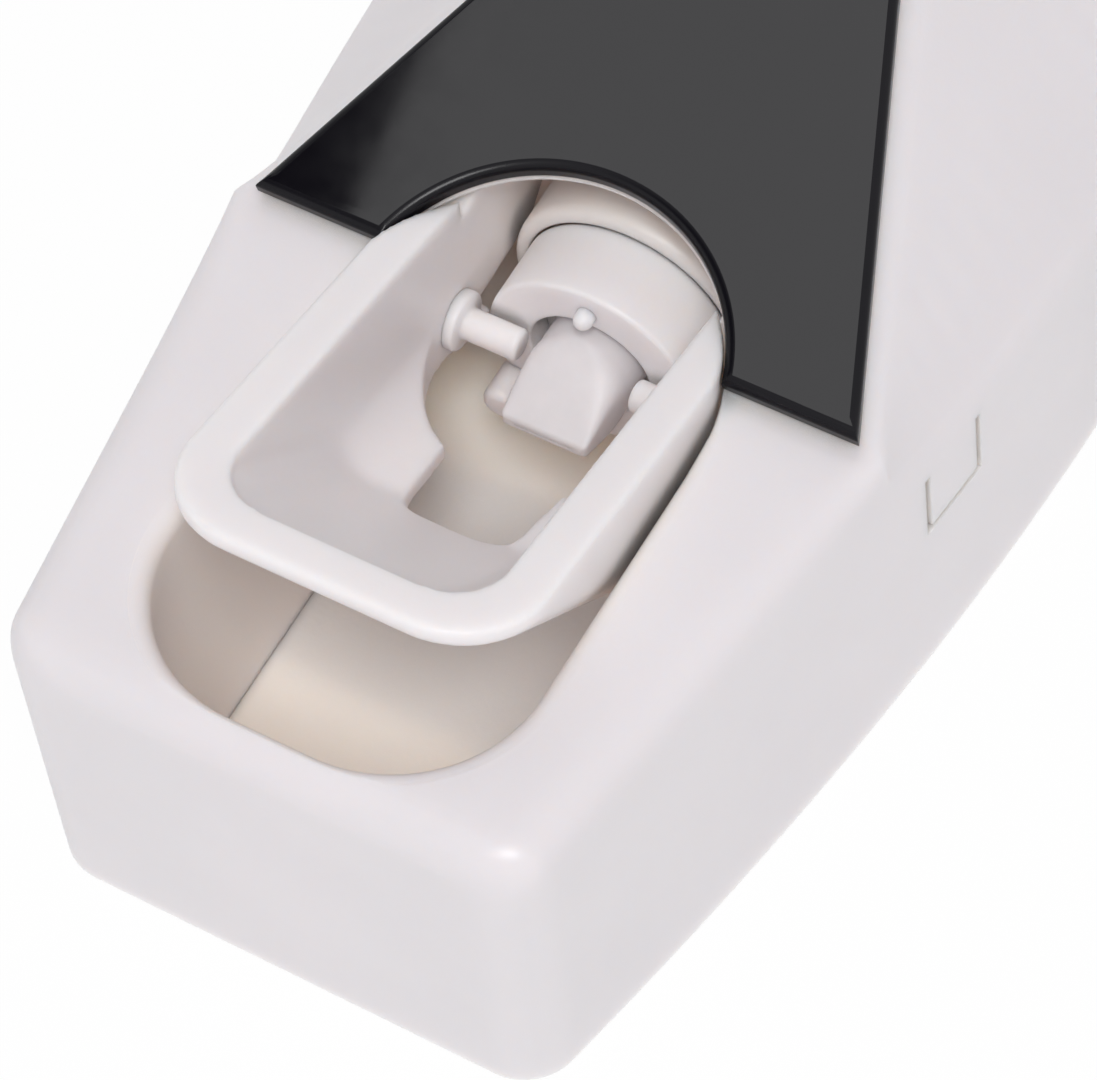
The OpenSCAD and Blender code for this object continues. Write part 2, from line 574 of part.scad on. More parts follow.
// Socket for the neck of the tube, with a funnel that its shoulder rests on
socket_wall = 2;
gasket_t = 0.8;
socket_h0 = cylinder_top + gasket_t;
socket_floor = 2.2;
seal_seat_r = neck_r + 0.5;
seal_seat_d = 2.2;
socket_h1 = socket_h0 + socket_floor + neck_depth;
module socket_gasket() color("dimgray") from_wall() on_pump_axis(cylinder_top + 0.02)
    tube(cylinder_r - 0.2, 6, gasket_t - 0.04);
module tube_socket() color("gainsboro") from_wall() on_pump_axis(0) rotate_extrude($fn = 96) polygon([
    [4, socket_h0], [cylinder_r + 0.1, socket_h0], [cylinder_r + 0.1, cylinder_top - 4],
    [cylinder_r + socket_skirt_t, cylinder_top - 4], [cylinder_r + socket_skirt_t, socket_h0 + socket_floor],
    [neck_r + socket_wall, socket_h0 + socket_floor], [neck_r + socket_wall, socket_h1 - 3],
    [17, socket_h1 + 3], [17, socket_h1 + 5], [neck_r + 0.8, socket_h1],
    [neck_r, socket_h1 - 0.8], [neck_r, socket_h0 + socket_floor + seal_seat_d],
    [seal_seat_r, socket_h0 + socket_floor + seal_seat_d], [seal_seat_r, socket_h0 + socket_floor],
    [4, socket_h0 + socket_floor]]);
module tube_seal() color("snow") from_wall() on_pump_axis(socket_h0 + socket_floor + 0.02)
    tube(seal_seat_r - 0.05, 3.8, seal_seat_d - 0.2);

// Soft ring in the opening of the top, which steadies the tube
ring_bore_r = tube_r - 2.3;
module top_ring() color("gainsboro") from_wall() on_pump_axis(0) rotate_extrude($fn = 96) polygon([
    [ring_bore_r + 0.6, top_inner - 0.2], [tube_r - 0.1, top_inner - 0.2], [tube_r - 0.1, body_h + 0.02],
    [tube_r + 1.4, body_h + 0.02], [tube_r + 1.4, body_h + 0.7], [tube_r + 0.7, body_h + 1.5],
    [ring_bore_r + 0.5, body_h + 1.5], [ring_bore_r, body_h + 1], [ring_bore_r, top_inner + 0.6]]);

front_shell();
front_panel();
panel_tape();
back_cover();
adhesive_pads();
push_lever();
pivot_pins();
pump_cylinder();
pump_collar();
piston_seal();
outlet_valve();
valve_retainer();
return_spring();
inlet_valve();
pump_bracket();
bracket_screws();
cylinder_screws();
socket_gasket();
tube_socket();
tube_seal();
top_ring();
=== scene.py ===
import json
import math

import bmesh
import bpy
import numpy as np
from mathutils import Matrix, Vector


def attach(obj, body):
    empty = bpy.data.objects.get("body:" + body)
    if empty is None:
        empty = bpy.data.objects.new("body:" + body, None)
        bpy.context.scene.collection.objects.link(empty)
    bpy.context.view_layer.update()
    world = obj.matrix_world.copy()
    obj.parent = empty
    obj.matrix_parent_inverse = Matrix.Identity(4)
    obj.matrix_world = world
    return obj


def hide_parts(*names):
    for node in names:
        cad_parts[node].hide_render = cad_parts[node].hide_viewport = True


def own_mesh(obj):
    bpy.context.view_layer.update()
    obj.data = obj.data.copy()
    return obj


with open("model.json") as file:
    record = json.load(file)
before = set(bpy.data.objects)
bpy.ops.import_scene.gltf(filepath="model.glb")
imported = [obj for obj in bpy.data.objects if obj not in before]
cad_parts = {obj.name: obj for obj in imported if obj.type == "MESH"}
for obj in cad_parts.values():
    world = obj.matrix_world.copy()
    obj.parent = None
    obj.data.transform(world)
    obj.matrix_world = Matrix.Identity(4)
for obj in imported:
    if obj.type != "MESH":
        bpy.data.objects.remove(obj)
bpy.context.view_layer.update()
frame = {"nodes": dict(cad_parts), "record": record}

# The smooth pieces below repeat the part's construction in millimetres. Heights are counted from the
# bottom end and depths from the wall, and place() turns them into metres in the model's frame.
# _H is a height, _Y a depth, _R a radius and _T a thickness; a _LEAN is an angle from the vertical.
MM = 0.001
MOUNT_H = 75
BODY_H = 155
BASE_W = 48
BEND_W = 62
MAX_W = 75
BASE_DEPTH = 38
BEND_DEPTH = 36
BEND_H = 48.6
LEAN = math.radians(15)
SIDE_DEPTH = 28.5
WALL = 2.2
END_ROUND = 4
PANEL_W = 57
PANEL_TOP_W = 21
PANEL_T = 2
TAPE_T = 0.4
NOTCH_R = 16.6
NOTCH_DROP = 4.3
WELL_BOTTOM = 3.4
WELL_CORNER_R = 13
LIP_R = 1.7
WELL_R = NOTCH_R + 0.3
PANEL_H0 = BEND_H + 0.3
NOTCH_H = PANEL_H0 - NOTCH_DROP * math.cos(LEAN)
TOP_INNER = BODY_H - WALL
PAD_T = 1
COVER_T = 2.2
FIT_GAP = 0.3
SKIRT_GAP = 0.02
PUMP_Y = 22
TUBE_R = 19.5
LATCH_H = 58
LATCH_BACK = 20
LATCH_SIZE = 8.4
LATCH_SLOT = 0.7
LATCH_REACH = 7
LATCH_IN = 4
POST_X = 25
POST_HEIGHTS = (80, 96)
POST_R = (3, 4.4)
POST_SPAN = (8, 56)
WEB_LEN = 16
WEB_T = 1.4
WEB_SPAN = (24, 57)
CHEEK_T = 2
SKIRT_T = 1.8
LEVER_W = 32.4
RIM_W = 4.1
RIM_LEAN = math.radians(13.5)
RIM_Y = 47.8
RIM_TOP = 57.5
LEVER_BOTTOM = 12
LEVER_FLOOR = 2.2
PIVOT_H = 70
PIVOT_Y = 35.5
COLLAR_H = 54.5

# The camera, fitted to points read from the photograph
PHOTO_W = 1097
FOCAL_PX = 4000
SENSOR_W = 36
CAMERA_AZ = math.radians(18.82)
CAMERA_EL = math.radians(-26.78)
CAMERA_ROLL = math.radians(32.69)
CAMERA_DIST = 345.87
CAMERA_TARGET = (3.13, 15, 40.81)
CLIP_START = 0.01


def place(points):
    """Points (across, depth from the wall, height) in millimetres, in the model's frame in metres."""
    p = np.asarray(points, float)
    return np.stack([p[:, 0], -p[:, 1], p[:, 2] - MOUNT_H], axis=1) * MM


def add_camera():
    """The photograph's camera."""
    level = math.cos(CAMERA_EL)
    back = Vector((math.sin(CAMERA_AZ) * level, -math.cos(CAMERA_AZ) * level, math.sin(CAMERA_EL)))
    right = (-back).cross(Vector((0, 0, 1))).normalized()
    down = (-back).cross(right)
    c, s = math.cos(CAMERA_ROLL), math.sin(CAMERA_ROLL)
    right, down = c * right - s * down, s * right + c * down
    target = Vector(place([CAMERA_TARGET])[0])
    data = bpy.data.cameras.new("camera")
    data.sensor_width = SENSOR_W
    data.lens = FOCAL_PX / PHOTO_W * SENSOR_W
    data.clip_start = CLIP_START
    camera = bpy.data.objects.new("camera", data)
    axes = Matrix((right, -down, back)).transposed().to_4x4()
    camera.matrix_world = Matrix.Translation(target + back * CAMERA_DIST * MM) @ axes
    bpy.context.scene.collection.objects.link(camera)
    bpy.context.scene.camera = camera


# Materials

# BUMP_M is in metres; the bevels, which round the normal at sharp edges, are radii in millimetres.
BUMP_M = 0.00005
BEVEL_SAMPLES = 4
PLASTIC_BEVEL = 0.25
RUBBER_BEVEL = 0.15
STEEL_BEVEL = 0.1
MOTTLE_DIM = 0.975
# The hollow settings say where painted warm light goes into the plastics' colour.
HOLLOW_SAMPLES = 6
HOLLOW_RANGE = (0.15, 0.8)
# The slit settings say where painted shade goes: narrow slits, seams and gaps between parts.
SLIT_SAMPLES = 4
SLIT_RANGE = (0.05, 0.45)
SLIT_SHADE = 0.3
SLIT_REACH = 2
PLASTIC_IOR = 1.5
GLOSS_IOR = 1.66
BLACK = (0.0035, 0.0031, 0.0052)
BLACK_HAZE = (0.0055, 0.0049, 0.0072)
STEEL = (0.56, 0.56, 0.57)
STEEL_DARK = (0.48, 0.48, 0.49)


def new_material(name):
    """A new material with its nodes, its links and its Principled BSDF."""
    m = bpy.data.materials.new(name)
    m.use_nodes = True
    return m, m.node_tree.nodes, m.node_tree.links, m.node_tree.nodes["Principled BSDF"]


def noise(nodes, links, scale, detail):
    """Noise in the object's own coordinates, which for every piece here are those of the frame."""
    coords = nodes.new("ShaderNodeTexCoord")
    n = nodes.new("ShaderNodeTexNoise")
    n.inputs["Scale"].default_value = scale
    n.inputs["Detail"].default_value = detail
    links.new(coords.outputs["Object"], n.inputs["Vector"])
    return n.outputs["Fac"]


def spread(nodes, links, value, low, high):
    """Noise, most of which lies between 0.3 and 0.7, spread over low to high."""
    r = nodes.new("ShaderNodeMapRange")
    r.inputs["To Min"].default_value = low
    r.inputs["To Max"].default_value = high
    r.inputs["From Min"].default_value = 0.3
    r.inputs["From Max"].default_value = 0.7
    links.new(value, r.inputs["Value"])
    return r.outputs["Result"]


def mix_colour(nodes, links, factor, first, second):
    """From the first colour at 0 to the second at 1. Each is a tuple or another node's output."""
    m = nodes.new("ShaderNodeMix")
    m.data_type = "RGBA"
    for socket, colour in ((m.inputs["A"], first), (m.inputs["B"], second)):
        if isinstance(colour, tuple):
            socket.default_value = (*colour, 1)
        else:
            links.new(colour, socket)
    links.new(factor, m.inputs["Factor"])
    return m.outputs["Result"]


def rounded_bump(nodes, links, bsdf, grain, strength, edge):
    """Fine grain on a normal that is rounded over sharp edges; with edge 0 it is not rounded."""
    bump = nodes.new("ShaderNodeBump")
    bump.inputs["Strength"].default_value = strength
    bump.inputs["Distance"].default_value = BUMP_M
    links.new(grain, bump.inputs["Height"])
    if edge:
        bevel = nodes.new("ShaderNodeBevel")
        bevel.samples = BEVEL_SAMPLES
        bevel.inputs["Radius"].default_value = edge * MM
        links.new(bevel.outputs["Normal"], bump.inputs["Normal"])
    links.new(bump.outputs["Normal"], bsdf.inputs["Normal"])


def openness(nodes, links, samples, reach, limits):
    """0 in hollows and 1 in the open: occlusion within reach millimetres, between two limits."""
    occlusion = nodes.new("ShaderNodeAmbientOcclusion")
    occlusion.samples = samples
    occlusion.inputs["Distance"].default_value = reach * MM
    clear = nodes.new("ShaderNodeMapRange")
    clear.inputs["From Min"].default_value = limits[0]
    clear.inputs["From Max"].default_value = limits[1]
    links.new(occlusion.outputs["AO"], clear.inputs["Value"])
    return clear.outputs["Result"]


def let_light_in(bsdf, weight, radius, scale):
    """Light that enters the surface and leaves it close by. The scale is in metres."""
    bsdf.inputs["Subsurface Weight"].default_value = weight
    bsdf.inputs["Subsurface Radius"].default_value = radius
    bsdf.inputs["Subsurface Scale"].default_value = scale


def plastic(name, colour, hollow_light_and_shade, rough, grain=2600, strength=0.12, reach=14):
    """Moulded plastic: a faint mottle and fine grain, with a hollow colour painted into its hollows, mostly
    as warm light, and painted shade in narrow slits.
    """
    m, nodes, links, bsdf = new_material(name)
    mottle = spread(nodes, links, noise(nodes, links, scale=45, detail=4), 0, 1)
    body = mix_colour(nodes, links, mottle, colour, tuple(c * MOTTLE_DIM for c in colour))
    # Painted light: the colour moves to the hollow colour where the surface is occluded within reach.
    hollow = openness(nodes, links, HOLLOW_SAMPLES, reach, HOLLOW_RANGE)
    with_painted_hollows = mix_colour(nodes, links, hollow, hollow_light_and_shade, body)
    # Painted shade: in narrow slits and gaps the colour is darkened to 0.3 of the hollow colour.
    slit = openness(nodes, links, SLIT_SAMPLES, SLIT_REACH, SLIT_RANGE)
    shade = tuple(c * SLIT_SHADE for c in hollow_light_and_shade)
    links.new(mix_colour(nodes, links, slit, shade, with_painted_hollows), bsdf.inputs["Base Color"])
    wear = noise(nodes, links, scale=130, detail=5)
    links.new(spread(nodes, links, wear, rough - 0.04, rough + 0.05), bsdf.inputs["Roughness"])
    bsdf.inputs["IOR"].default_value = PLASTIC_IOR
    let_light_in(bsdf, weight=1.0, radius=(1.0, 0.9, 0.82), scale=0.0022)
    fine = noise(nodes, links, scale=grain, detail=2)
    rounded_bump(nodes, links, bsdf, fine, strength, PLASTIC_BEVEL)
    return m


def gloss_black(name, gloss=0.5, rough=0.045):
    """Black plastic with a faint waviness and dust-fine haze; gloss is how much it reflects."""
    m, nodes, links, bsdf = new_material(name)
    bsdf.inputs["Specular IOR Level"].default_value = gloss
    haze = spread(nodes, links, noise(nodes, links, scale=60, detail=5), 0, 1)
    links.new(mix_colour(nodes, links, haze, BLACK, BLACK_HAZE), bsdf.inputs["Base Color"])
    smears = noise(nodes, links, scale=220, detail=6)
    links.new(spread(nodes, links, smears, rough, rough + 0.04), bsdf.inputs["Roughness"])
    bsdf.inputs["IOR"].default_value = GLOSS_IOR
    waves = noise(nodes, links, scale=35, detail=2)
    rounded_bump(nodes, links, bsdf, waves, strength=0.05, edge=0)
    return m


def rubber(name, colour, rough, strength=0.25, soft=0.0):
    """Matt rubber or silicone with a mottle and a coarse grain."""
    m, nodes, links, bsdf = new_material(name)
    mottle = spread(nodes, links, noise(nodes, links, scale=160, detail=4), 0, 1)
    darker = tuple(c * 0.9 for c in colour)
    links.new(mix_colour(nodes, links, mottle, colour, darker), bsdf.inputs["Base Color"])
    wear = noise(nodes, links, scale=300, detail=4)
    links.new(spread(nodes, links, wear, rough - 0.06, rough + 0.06), bsdf.inputs["Roughness"])
    let_light_in(bsdf, weight=soft, radius=(1.0, 0.8, 0.7), scale=0.0015)
    bsdf.inputs["Specular IOR Level"].default_value = 0.35
    coarse = noise(nodes, links, scale=1800, detail=3)
    rounded_bump(nodes, links, bsdf, coarse, strength, RUBBER_BEVEL)
    return m


def foam(name, colour):
    """Closed-cell foam: small cells seen as pits, with shade painted into their colour."""
    m, nodes, links, bsdf = new_material(name)
    coords = nodes.new("ShaderNodeTexCoord")
    cells = nodes.new("ShaderNodeTexVoronoi")
    cells.inputs["Scale"].default_value = 2200
    links.new(coords.outputs["Object"], cells.inputs["Vector"])
    # Painted shade: the colour is darker at the bottoms of the pits that the bump sinks.
    shade = tuple(c * 0.8 for c in colour)
    links.new(mix_colour(nodes, links, cells.outputs["Distance"], shade, colour), bsdf.inputs["Base Color"])
    bsdf.inputs["Roughness"].default_value = 0.85
    rounded_bump(nodes, links, bsdf, cells.outputs["Distance"], strength=0.5, edge=0)
    return m


def drawn_steel(name):
    """Bright steel with the mottle and the uneven polish of drawn wire."""
    m, nodes, links, bsdf = new_material(name)
    mottle = spread(nodes, links, noise(nodes, links, scale=400, detail=4), 0, 1)
    links.new(mix_colour(nodes, links, mottle, STEEL, STEEL_DARK), bsdf.inputs["Base Color"])
    bsdf.inputs["Metallic"].default_value = 1
    polish = noise(nodes, links, scale=900, detail=3)
    links.new(spread(nodes, links, polish, 0.22, 0.34), bsdf.inputs["Roughness"])
    fine = noise(nodes, links, scale=3000, detail=2)
    rounded_bump(nodes, links, bsdf, fine, strength=0.1, edge=STEEL_BEVEL)
    return m


# Each plastic has its own colour, the colour painted into its hollows and its roughness. The hollow colour
# is painted warm light, lighter than the body, except on the soft ring, where it is darker: painted shade.
# A warm colour painted into the white plastics' hollows, where it stands for the glow of light in them.
PAINTED_WARM_LIGHT = (0.97, 0.905, 0.86)
MATERIALS = {
    "white_shell": plastic("white_shell", (0.80, 0.765, 0.79), PAINTED_WARM_LIGHT, 0.36, reach=40),
    "white_cover": plastic("white_cover", (0.77, 0.745, 0.76), PAINTED_WARM_LIGHT, 0.48, grain=1500, strength=0.3,
                           reach=40),
    "white_lever": plastic("white_lever", (0.84, 0.805, 0.82), (0.94, 0.90, 0.885), 0.34, reach=18),
    "white_collar": plastic("white_collar", (0.86, 0.83, 0.85), (0.95, 0.92, 0.93), 0.4),
    "natural_plastic": plastic("natural_plastic", (0.76, 0.72, 0.70), (0.82, 0.77, 0.74), 0.42),
    "grey_plastic": plastic("grey_plastic", (0.80, 0.77, 0.76), PAINTED_WARM_LIGHT, 0.45),
    "soft_ring": plastic("soft_ring", (0.70, 0.69, 0.69), (0.6, 0.56, 0.54), 0.6, grain=1400,
                         strength=0.25),
    "black_gloss": gloss_black("black_gloss"),
    "black_edge": gloss_black("black_edge", gloss=0.12, rough=0.22),
    "foam_tape": foam("foam_tape", (0.03, 0.03, 0.03)),
    "foam_pad": foam("foam_pad", (0.42, 0.43, 0.44)),
    "black_rubber": rubber("black_rubber", (0.02, 0.02, 0.021), 0.6),
    "white_silicone": rubber("white_silicone", (0.79, 0.76, 0.775), 0.42, soft=0.35, strength=0.12),
    "steel": drawn_steel("steel"),
}


# Mesh helpers

NORMAL_WEIGHT = 80


def make(name, points, faces):
    """An object from points in millimetres (across, depth, height), its faces turned outward."""
    mesh = bpy.data.meshes.new(name)
    mesh.from_pydata([tuple(p) for p in place(points)], [], [list(f) for f in faces])
    bm = bmesh.new()
    bm.from_mesh(mesh)
    bmesh.ops.recalc_face_normals(bm, faces=bm.faces)
    bm.to_mesh(mesh)
    bm.free()
    obj = bpy.data.objects.new(name, mesh)
    bpy.context.scene.collection.objects.link(obj)
    return obj


def loft(name, rings):
    """A closed solid through rings with the same number of points."""
    m, n = len(rings), len(rings[0])
    faces = [(i * n + j, i * n + (j + 1) % n, (i + 1) * n + (j + 1) % n, (i + 1) * n + j)
             for i in range(m - 1) for j in range(n)]
    faces += [tuple(range(n))[::-1], tuple((m - 1) * n + j for j in range(n))]
    return make(name, np.concatenate([np.asarray(r, float) for r in rings]), faces)


def apply_modifiers(obj):
    """Replaces an object's mesh by what its modifiers make of it."""
    evaluated = obj.evaluated_get(bpy.context.evaluated_depsgraph_get())
    mesh = bpy.data.meshes.new_from_object(evaluated)
    obj.modifiers.clear()
    old = obj.data
    obj.data = mesh
    bpy.data.meshes.remove(old)
    return obj


def combine(obj, tools, operation="DIFFERENCE"):
    """Cuts the tools from obj, or joins or intersects them, and removes them."""
    for tool in tools:
        modifier = obj.modifiers.new("cut", "BOOLEAN")
        modifier.operation = operation
        modifier.solver = "MANIFOLD"
        modifier.object = tool
    apply_modifiers(obj)
    for tool in tools:
        bpy.data.objects.remove(tool)
    return obj


def smooth(obj, angle):
    """Smooth shading up to an angle in degrees between faces, led by the larger faces."""
    obj.data.shade_smooth()
    obj.data.set_sharp_from_angle(angle=math.radians(angle))
    modifier = obj.modifiers.new("normals", "WEIGHTED_NORMAL")
    modifier.keep_sharp = True
    modifier.weight = NORMAL_WEIGHT
    return apply_modifiers(obj)


def show(obj, body, slot, *nodes):
    """Gives a finished piece the material of its slot and its body, and hides the nodes that it stands for.
    """
    obj.data.materials.clear()
    obj.data.materials.append(MATERIALS[slot])
    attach(obj, body)
    if nodes:
        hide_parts(*nodes)
    return obj


def prism_y(name, outline, y0, y1):
    """An outline of points (across, height) carried from depth y0 to y1."""
    return loft(name, [[(x, y, h) for x, h in outline] for y in (y0, y1)])


def prism_x(name, outline, x0, x1):
    """An outline of points (depth, height) carried from x0 to x1."""
    return loft(name, [[(x, y, h) for y, h in outline] for x in (x0, x1)])


def arc(cx, cy, r, a0, a1, steps):
    """Points on a circle from angle a0 to a1, in degrees."""
    return [(cx + r * math.cos(math.radians(a0 + (a1 - a0) * i / steps)),
             cy + r * math.sin(math.radians(a0 + (a1 - a0) * i / steps))) for i in range(steps + 1)]


def rod(name, r0, r1, start, axis, length, sides=64):
    """A straight or tapered round bar from start along axis x, y (toward the user) or z (up)."""
    rings = []
    for t, r in ((0, r0), (length, r1)):
        ring = []
        for i in range(sides):
            u, v = r * math.cos(2 * math.pi * i / sides), r * math.sin(2 * math.pi * i / sides)
            offset = {"x": (t, u, v), "y": (u, t, v), "z": (u, v, t)}[axis]
            ring.append(tuple(s + o for s, o in zip(start, offset)))
        rings.append(ring)
    return loft(name, rings)


# The body's form: half widths and depths at a height

BACK_TAPER_H = 95
BACK_TAPER_POWER = 1.8
FLANK_FALL = 3
CREASE_FALL = 5
CREASE_RISE = 3
CREASE_R = 1.9
EDGE_R = 1.7
LOW_EDGE_R = 4
EDGE_SHRINK = 2.3
EDGE_FALL = 8
FRONT_DRAW = 0.45
CREASE_DRAW = 0.4
PANEL_MARGIN = 1.2
PANEL_TAPER = 0.385
TAPER_START = 36
TAPER_END = (PANEL_W - PANEL_TOP_W) / PANEL_TAPER - TAPER_START


def smooth_fall(h, length):
    """1 at the bend, falling off on both sides over a length."""
    return math.exp(-abs(h - BEND_H) / length)


def back_half(h):
    """Half the width at the wall."""
    return MAX_W / 2 - (MAX_W - BASE_W) / 2 * max(0, 1 - h / BACK_TAPER_H) ** BACK_TAPER_POWER


def side_half(h):
    """Half the width that the straight sides would reach at the front."""
    if h < BEND_H:
        return BASE_W / 2 + (BEND_W - BASE_W) / 2 * h / BEND_H
    return back_half(h) - back_half(BEND_H) + BEND_W / 2


def side_x(h, y):
    """Half the width on the straight side at a depth."""
    return back_half(h) - (back_half(h) - side_half(h)) * y / BEND_DEPTH


def front_y(h):
    """The depth of the front."""
    if h < BEND_H:
        return BASE_DEPTH + (BEND_DEPTH - BASE_DEPTH) * h / BEND_H
    return BEND_DEPTH + math.tan(LEAN) * (h - BEND_H)


def panel_half(s):
    """The panel's half width at a distance up its slope: a straight taper that runs out in a curve."""
    if s < TAPER_START:
        return PANEL_W / 2 - PANEL_TAPER * s
    if s < TAPER_END:
        return PANEL_TOP_W / 2 + PANEL_TAPER * (TAPER_END - s) ** 2 / (TAPER_END - TAPER_START) / 2
    return PANEL_TOP_W / 2


def front_half(h):
    """Half the width of the front, between the flanks."""
    if h < BEND_H:
        return side_half(h)
    rise = max(0, (h - PANEL_H0) / math.cos(LEAN))
    flank = side_half(BEND_H) - PANEL_W / 2 - PANEL_MARGIN
    return panel_half(rise) + PANEL_MARGIN + flank * smooth_fall(h, FLANK_FALL)


def crease_y(h):
    """The depth of the crease between side and flank."""
    return SIDE_DEPTH + CREASE_RISE * smooth_fall(h, CREASE_FALL)


def end_inset(h):
    """How far the rounded ends draw the section in."""
    d = min(h, BODY_H - h, END_ROUND) - END_ROUND
    return END_ROUND - math.sqrt(max(0, END_ROUND ** 2 - d * d))


def round_corner(a, b, c, t, steps=10):
    """A curve round the corner b of a-b-c, from t before it to t after it."""
    a, b, c = (np.array(p, float) for p in (a, b, c))
    p = b + (a - b) * t / np.linalg.norm(a - b)
    q = b + (c - b) * t / np.linalg.norm(c - b)
    return [tuple(p * (1 - u) ** 2 + b * 2 * u * (1 - u) + q * u * u) for u in np.linspace(0, 1, steps + 1)]


def section(h, inset, back):
    """The body's outline at a height, drawn in by inset, from a depth at the back."""
    f = 1 if h < BEND_H else FRONT_DRAW + (1 - FRONT_DRAW) * smooth_fall(h, FLANK_FALL)
    cy = crease_y(h) - CREASE_DRAW * inset
    a = (side_x(h, back) - inset, back)
    c = (side_x(h, cy) - inset, cy)
    d = (front_half(h) - f * inset, front_y(h) - inset)
    t = LOW_EDGE_R - EDGE_SHRINK * smooth_fall(h, EDGE_FALL) if h < BEND_H else EDGE_R
    half = [a] + round_corner(a, c, d, CREASE_R) + round_corner(c, d, (0, d[1]), t)
    return [(x, y, h) for x, y in half] + [(-x, y, h) for x, y in reversed(half)]


LEVEL_STEP = 4
BEND_STEPS = (-8, -6, -4.5, -3.2, -2.2, -1.4, -0.7, 0, 0.5, 1, 1.6, 2.3, 3.1, 4, 5, 6.2, 7.6, 9.2)


def body_form(name, inset, back, h0, h1):
    """The body from height h0 to h1, drawn in by inset. With no inset its ends are rounded."""
    ends = [END_ROUND * (1 - math.cos(math.radians(i * 9))) for i in range(11)]
    bend = [BEND_H + d for d in BEND_STEPS]
    low = list(np.arange(8, BEND_H - 10, LEVEL_STEP))
    high = list(np.arange(BEND_H + 12, BODY_H - END_ROUND - 2, LEVEL_STEP))
    middle = low + bend + high
    if inset == 0:
        levels = ends + middle + [BODY_H - e for e in reversed(ends)]
    else:
        levels = [h0] + middle + [h1]
    return loft(name, [section(h, end_inset(h) if inset == 0 else inset, back) for h in levels])


# The opening

# Under the panel's notch the wall ends in a thin edge, and is cut away behind it.
ARCH_EDGE = 0.35
ARCH_T = 0.3
ARCH_UNDERCUT = 1.2
ARCH_RISE = 5
LIP_FADE_BELOW = 8
LIP_FADE_LEN = 9
LIP_MIN = 0.25
LIP_CLEAR = 0.6
IN_FRONT_Y = 70


def well_points(grow):
    """The opening's outline in points (across, height), grown by a distance."""
    r, c, x = WELL_R + grow, WELL_CORNER_R + grow, WELL_R - WELL_CORNER_R
    centre = WELL_BOTTOM + WELL_CORNER_R
    top = [(r * math.cos(math.radians(a)), NOTCH_H + r * math.sin(math.radians(a)) * math.cos(LEAN))
           for a in range(0, 181, 3)]
    sides = list(np.linspace(NOTCH_H, centre, 14))[1:-1]
    left = [(-r, h) for h in sides]
    right = [(r, h) for h in reversed(sides)]
    return top + left + arc(-x, centre, c, 180, 270, 24) + arc(x, centre, c, 270, 360, 24) + right


def lip_at(h):
    """The radius of the well's rounded lip, which fades out toward the panel."""
    if h < BEND_H - LIP_FADE_BELOW:
        return LIP_R
    return max(LIP_MIN, LIP_R * (1 - (h - BEND_H + LIP_FADE_BELOW) / LIP_FADE_LEN))


def well_cutter():
    """What is cut from the shell: the opening from the front, its lip, and the undercut of the arch."""
    base, grown = np.array(well_points(0)), np.array(well_points(1))
    way = grown - base
    lips = np.array([lip_at(h) for h in base[:, 1]])
    depth = np.array([front_y(h) for h in base[:, 1]])
    arch = np.clip((base[:, 1] - NOTCH_H) / ARCH_RISE, 0, 1)

    def ring(out, y):
        p = base + way * np.asarray(out)[:, None]
        return np.stack([p[:, 0], np.broadcast_to(y, len(p)), p[:, 1]], axis=1)

    edge = -ARCH_EDGE * arch
    mouth = (lips + LIP_CLEAR) * (1 - arch) + edge
    rings = [ring(mouth, IN_FRONT_Y), ring(mouth, depth + LIP_CLEAR)]
    for t in np.radians([4] + list(range(9, 91, 9))):
        rings.append(ring(lips * (1 - math.sin(t)) * (1 - arch) + edge, depth - lips * (1 - math.cos(t))))
    lip_back = depth - np.maximum(lips, ARCH_T)
    rings += [ring(edge, lip_back - 0.01), ring(ARCH_UNDERCUT * arch, lip_back - 0.06)]
    rings.append(ring(ARCH_UNDERCUT * arch, PAD_T - 2))
    return loft("well_cutter", rings)


def latch_cuts():
    """The U-shaped slot round each latch tongue."""
    half = LATCH_SIZE / 2
    y0, y1 = LATCH_BACK - LATCH_SLOT, LATCH_BACK + LATCH_REACH
    outline = [(y0, LATCH_H - half), (y1, LATCH_H - half), (y1, LATCH_H + half), (y0, LATCH_H + half)]
    inner = half - LATCH_SLOT
    hole = [(LATCH_BACK, LATCH_H - inner), (y1 + 1, LATCH_H - inner),
            (y1 + 1, LATCH_H + inner), (LATCH_BACK, LATCH_H + inner)]
    cuts = []
    for x0, x1 in ((BEND_W / 2 - LATCH_IN, MAX_W / 2 + 1), (-MAX_W / 2 - 1, LATCH_IN - BEND_W / 2)):
        cut = prism_x("latch", outline, x0, x1)
        cuts.append(combine(cut, [prism_x("latch_tongue", hole, x0 - 1, x1 + 1)]))
    return cuts


# Points (depth, height) round a pivot cheek
CHEEK = [(26, NOTCH_H - 4), (26, 60), (31, PIVOT_H + 4), (60, PIVOT_H + 4), (60, NOTCH_H - 4)]


def box_outline(x0, x1, middle, half):
    """A rectangle from x0 to x1, which reaches half to both sides of its middle line."""
    return [(x0, middle - half), (x1, middle - half), (x1, middle + half), (x0, middle + half)]


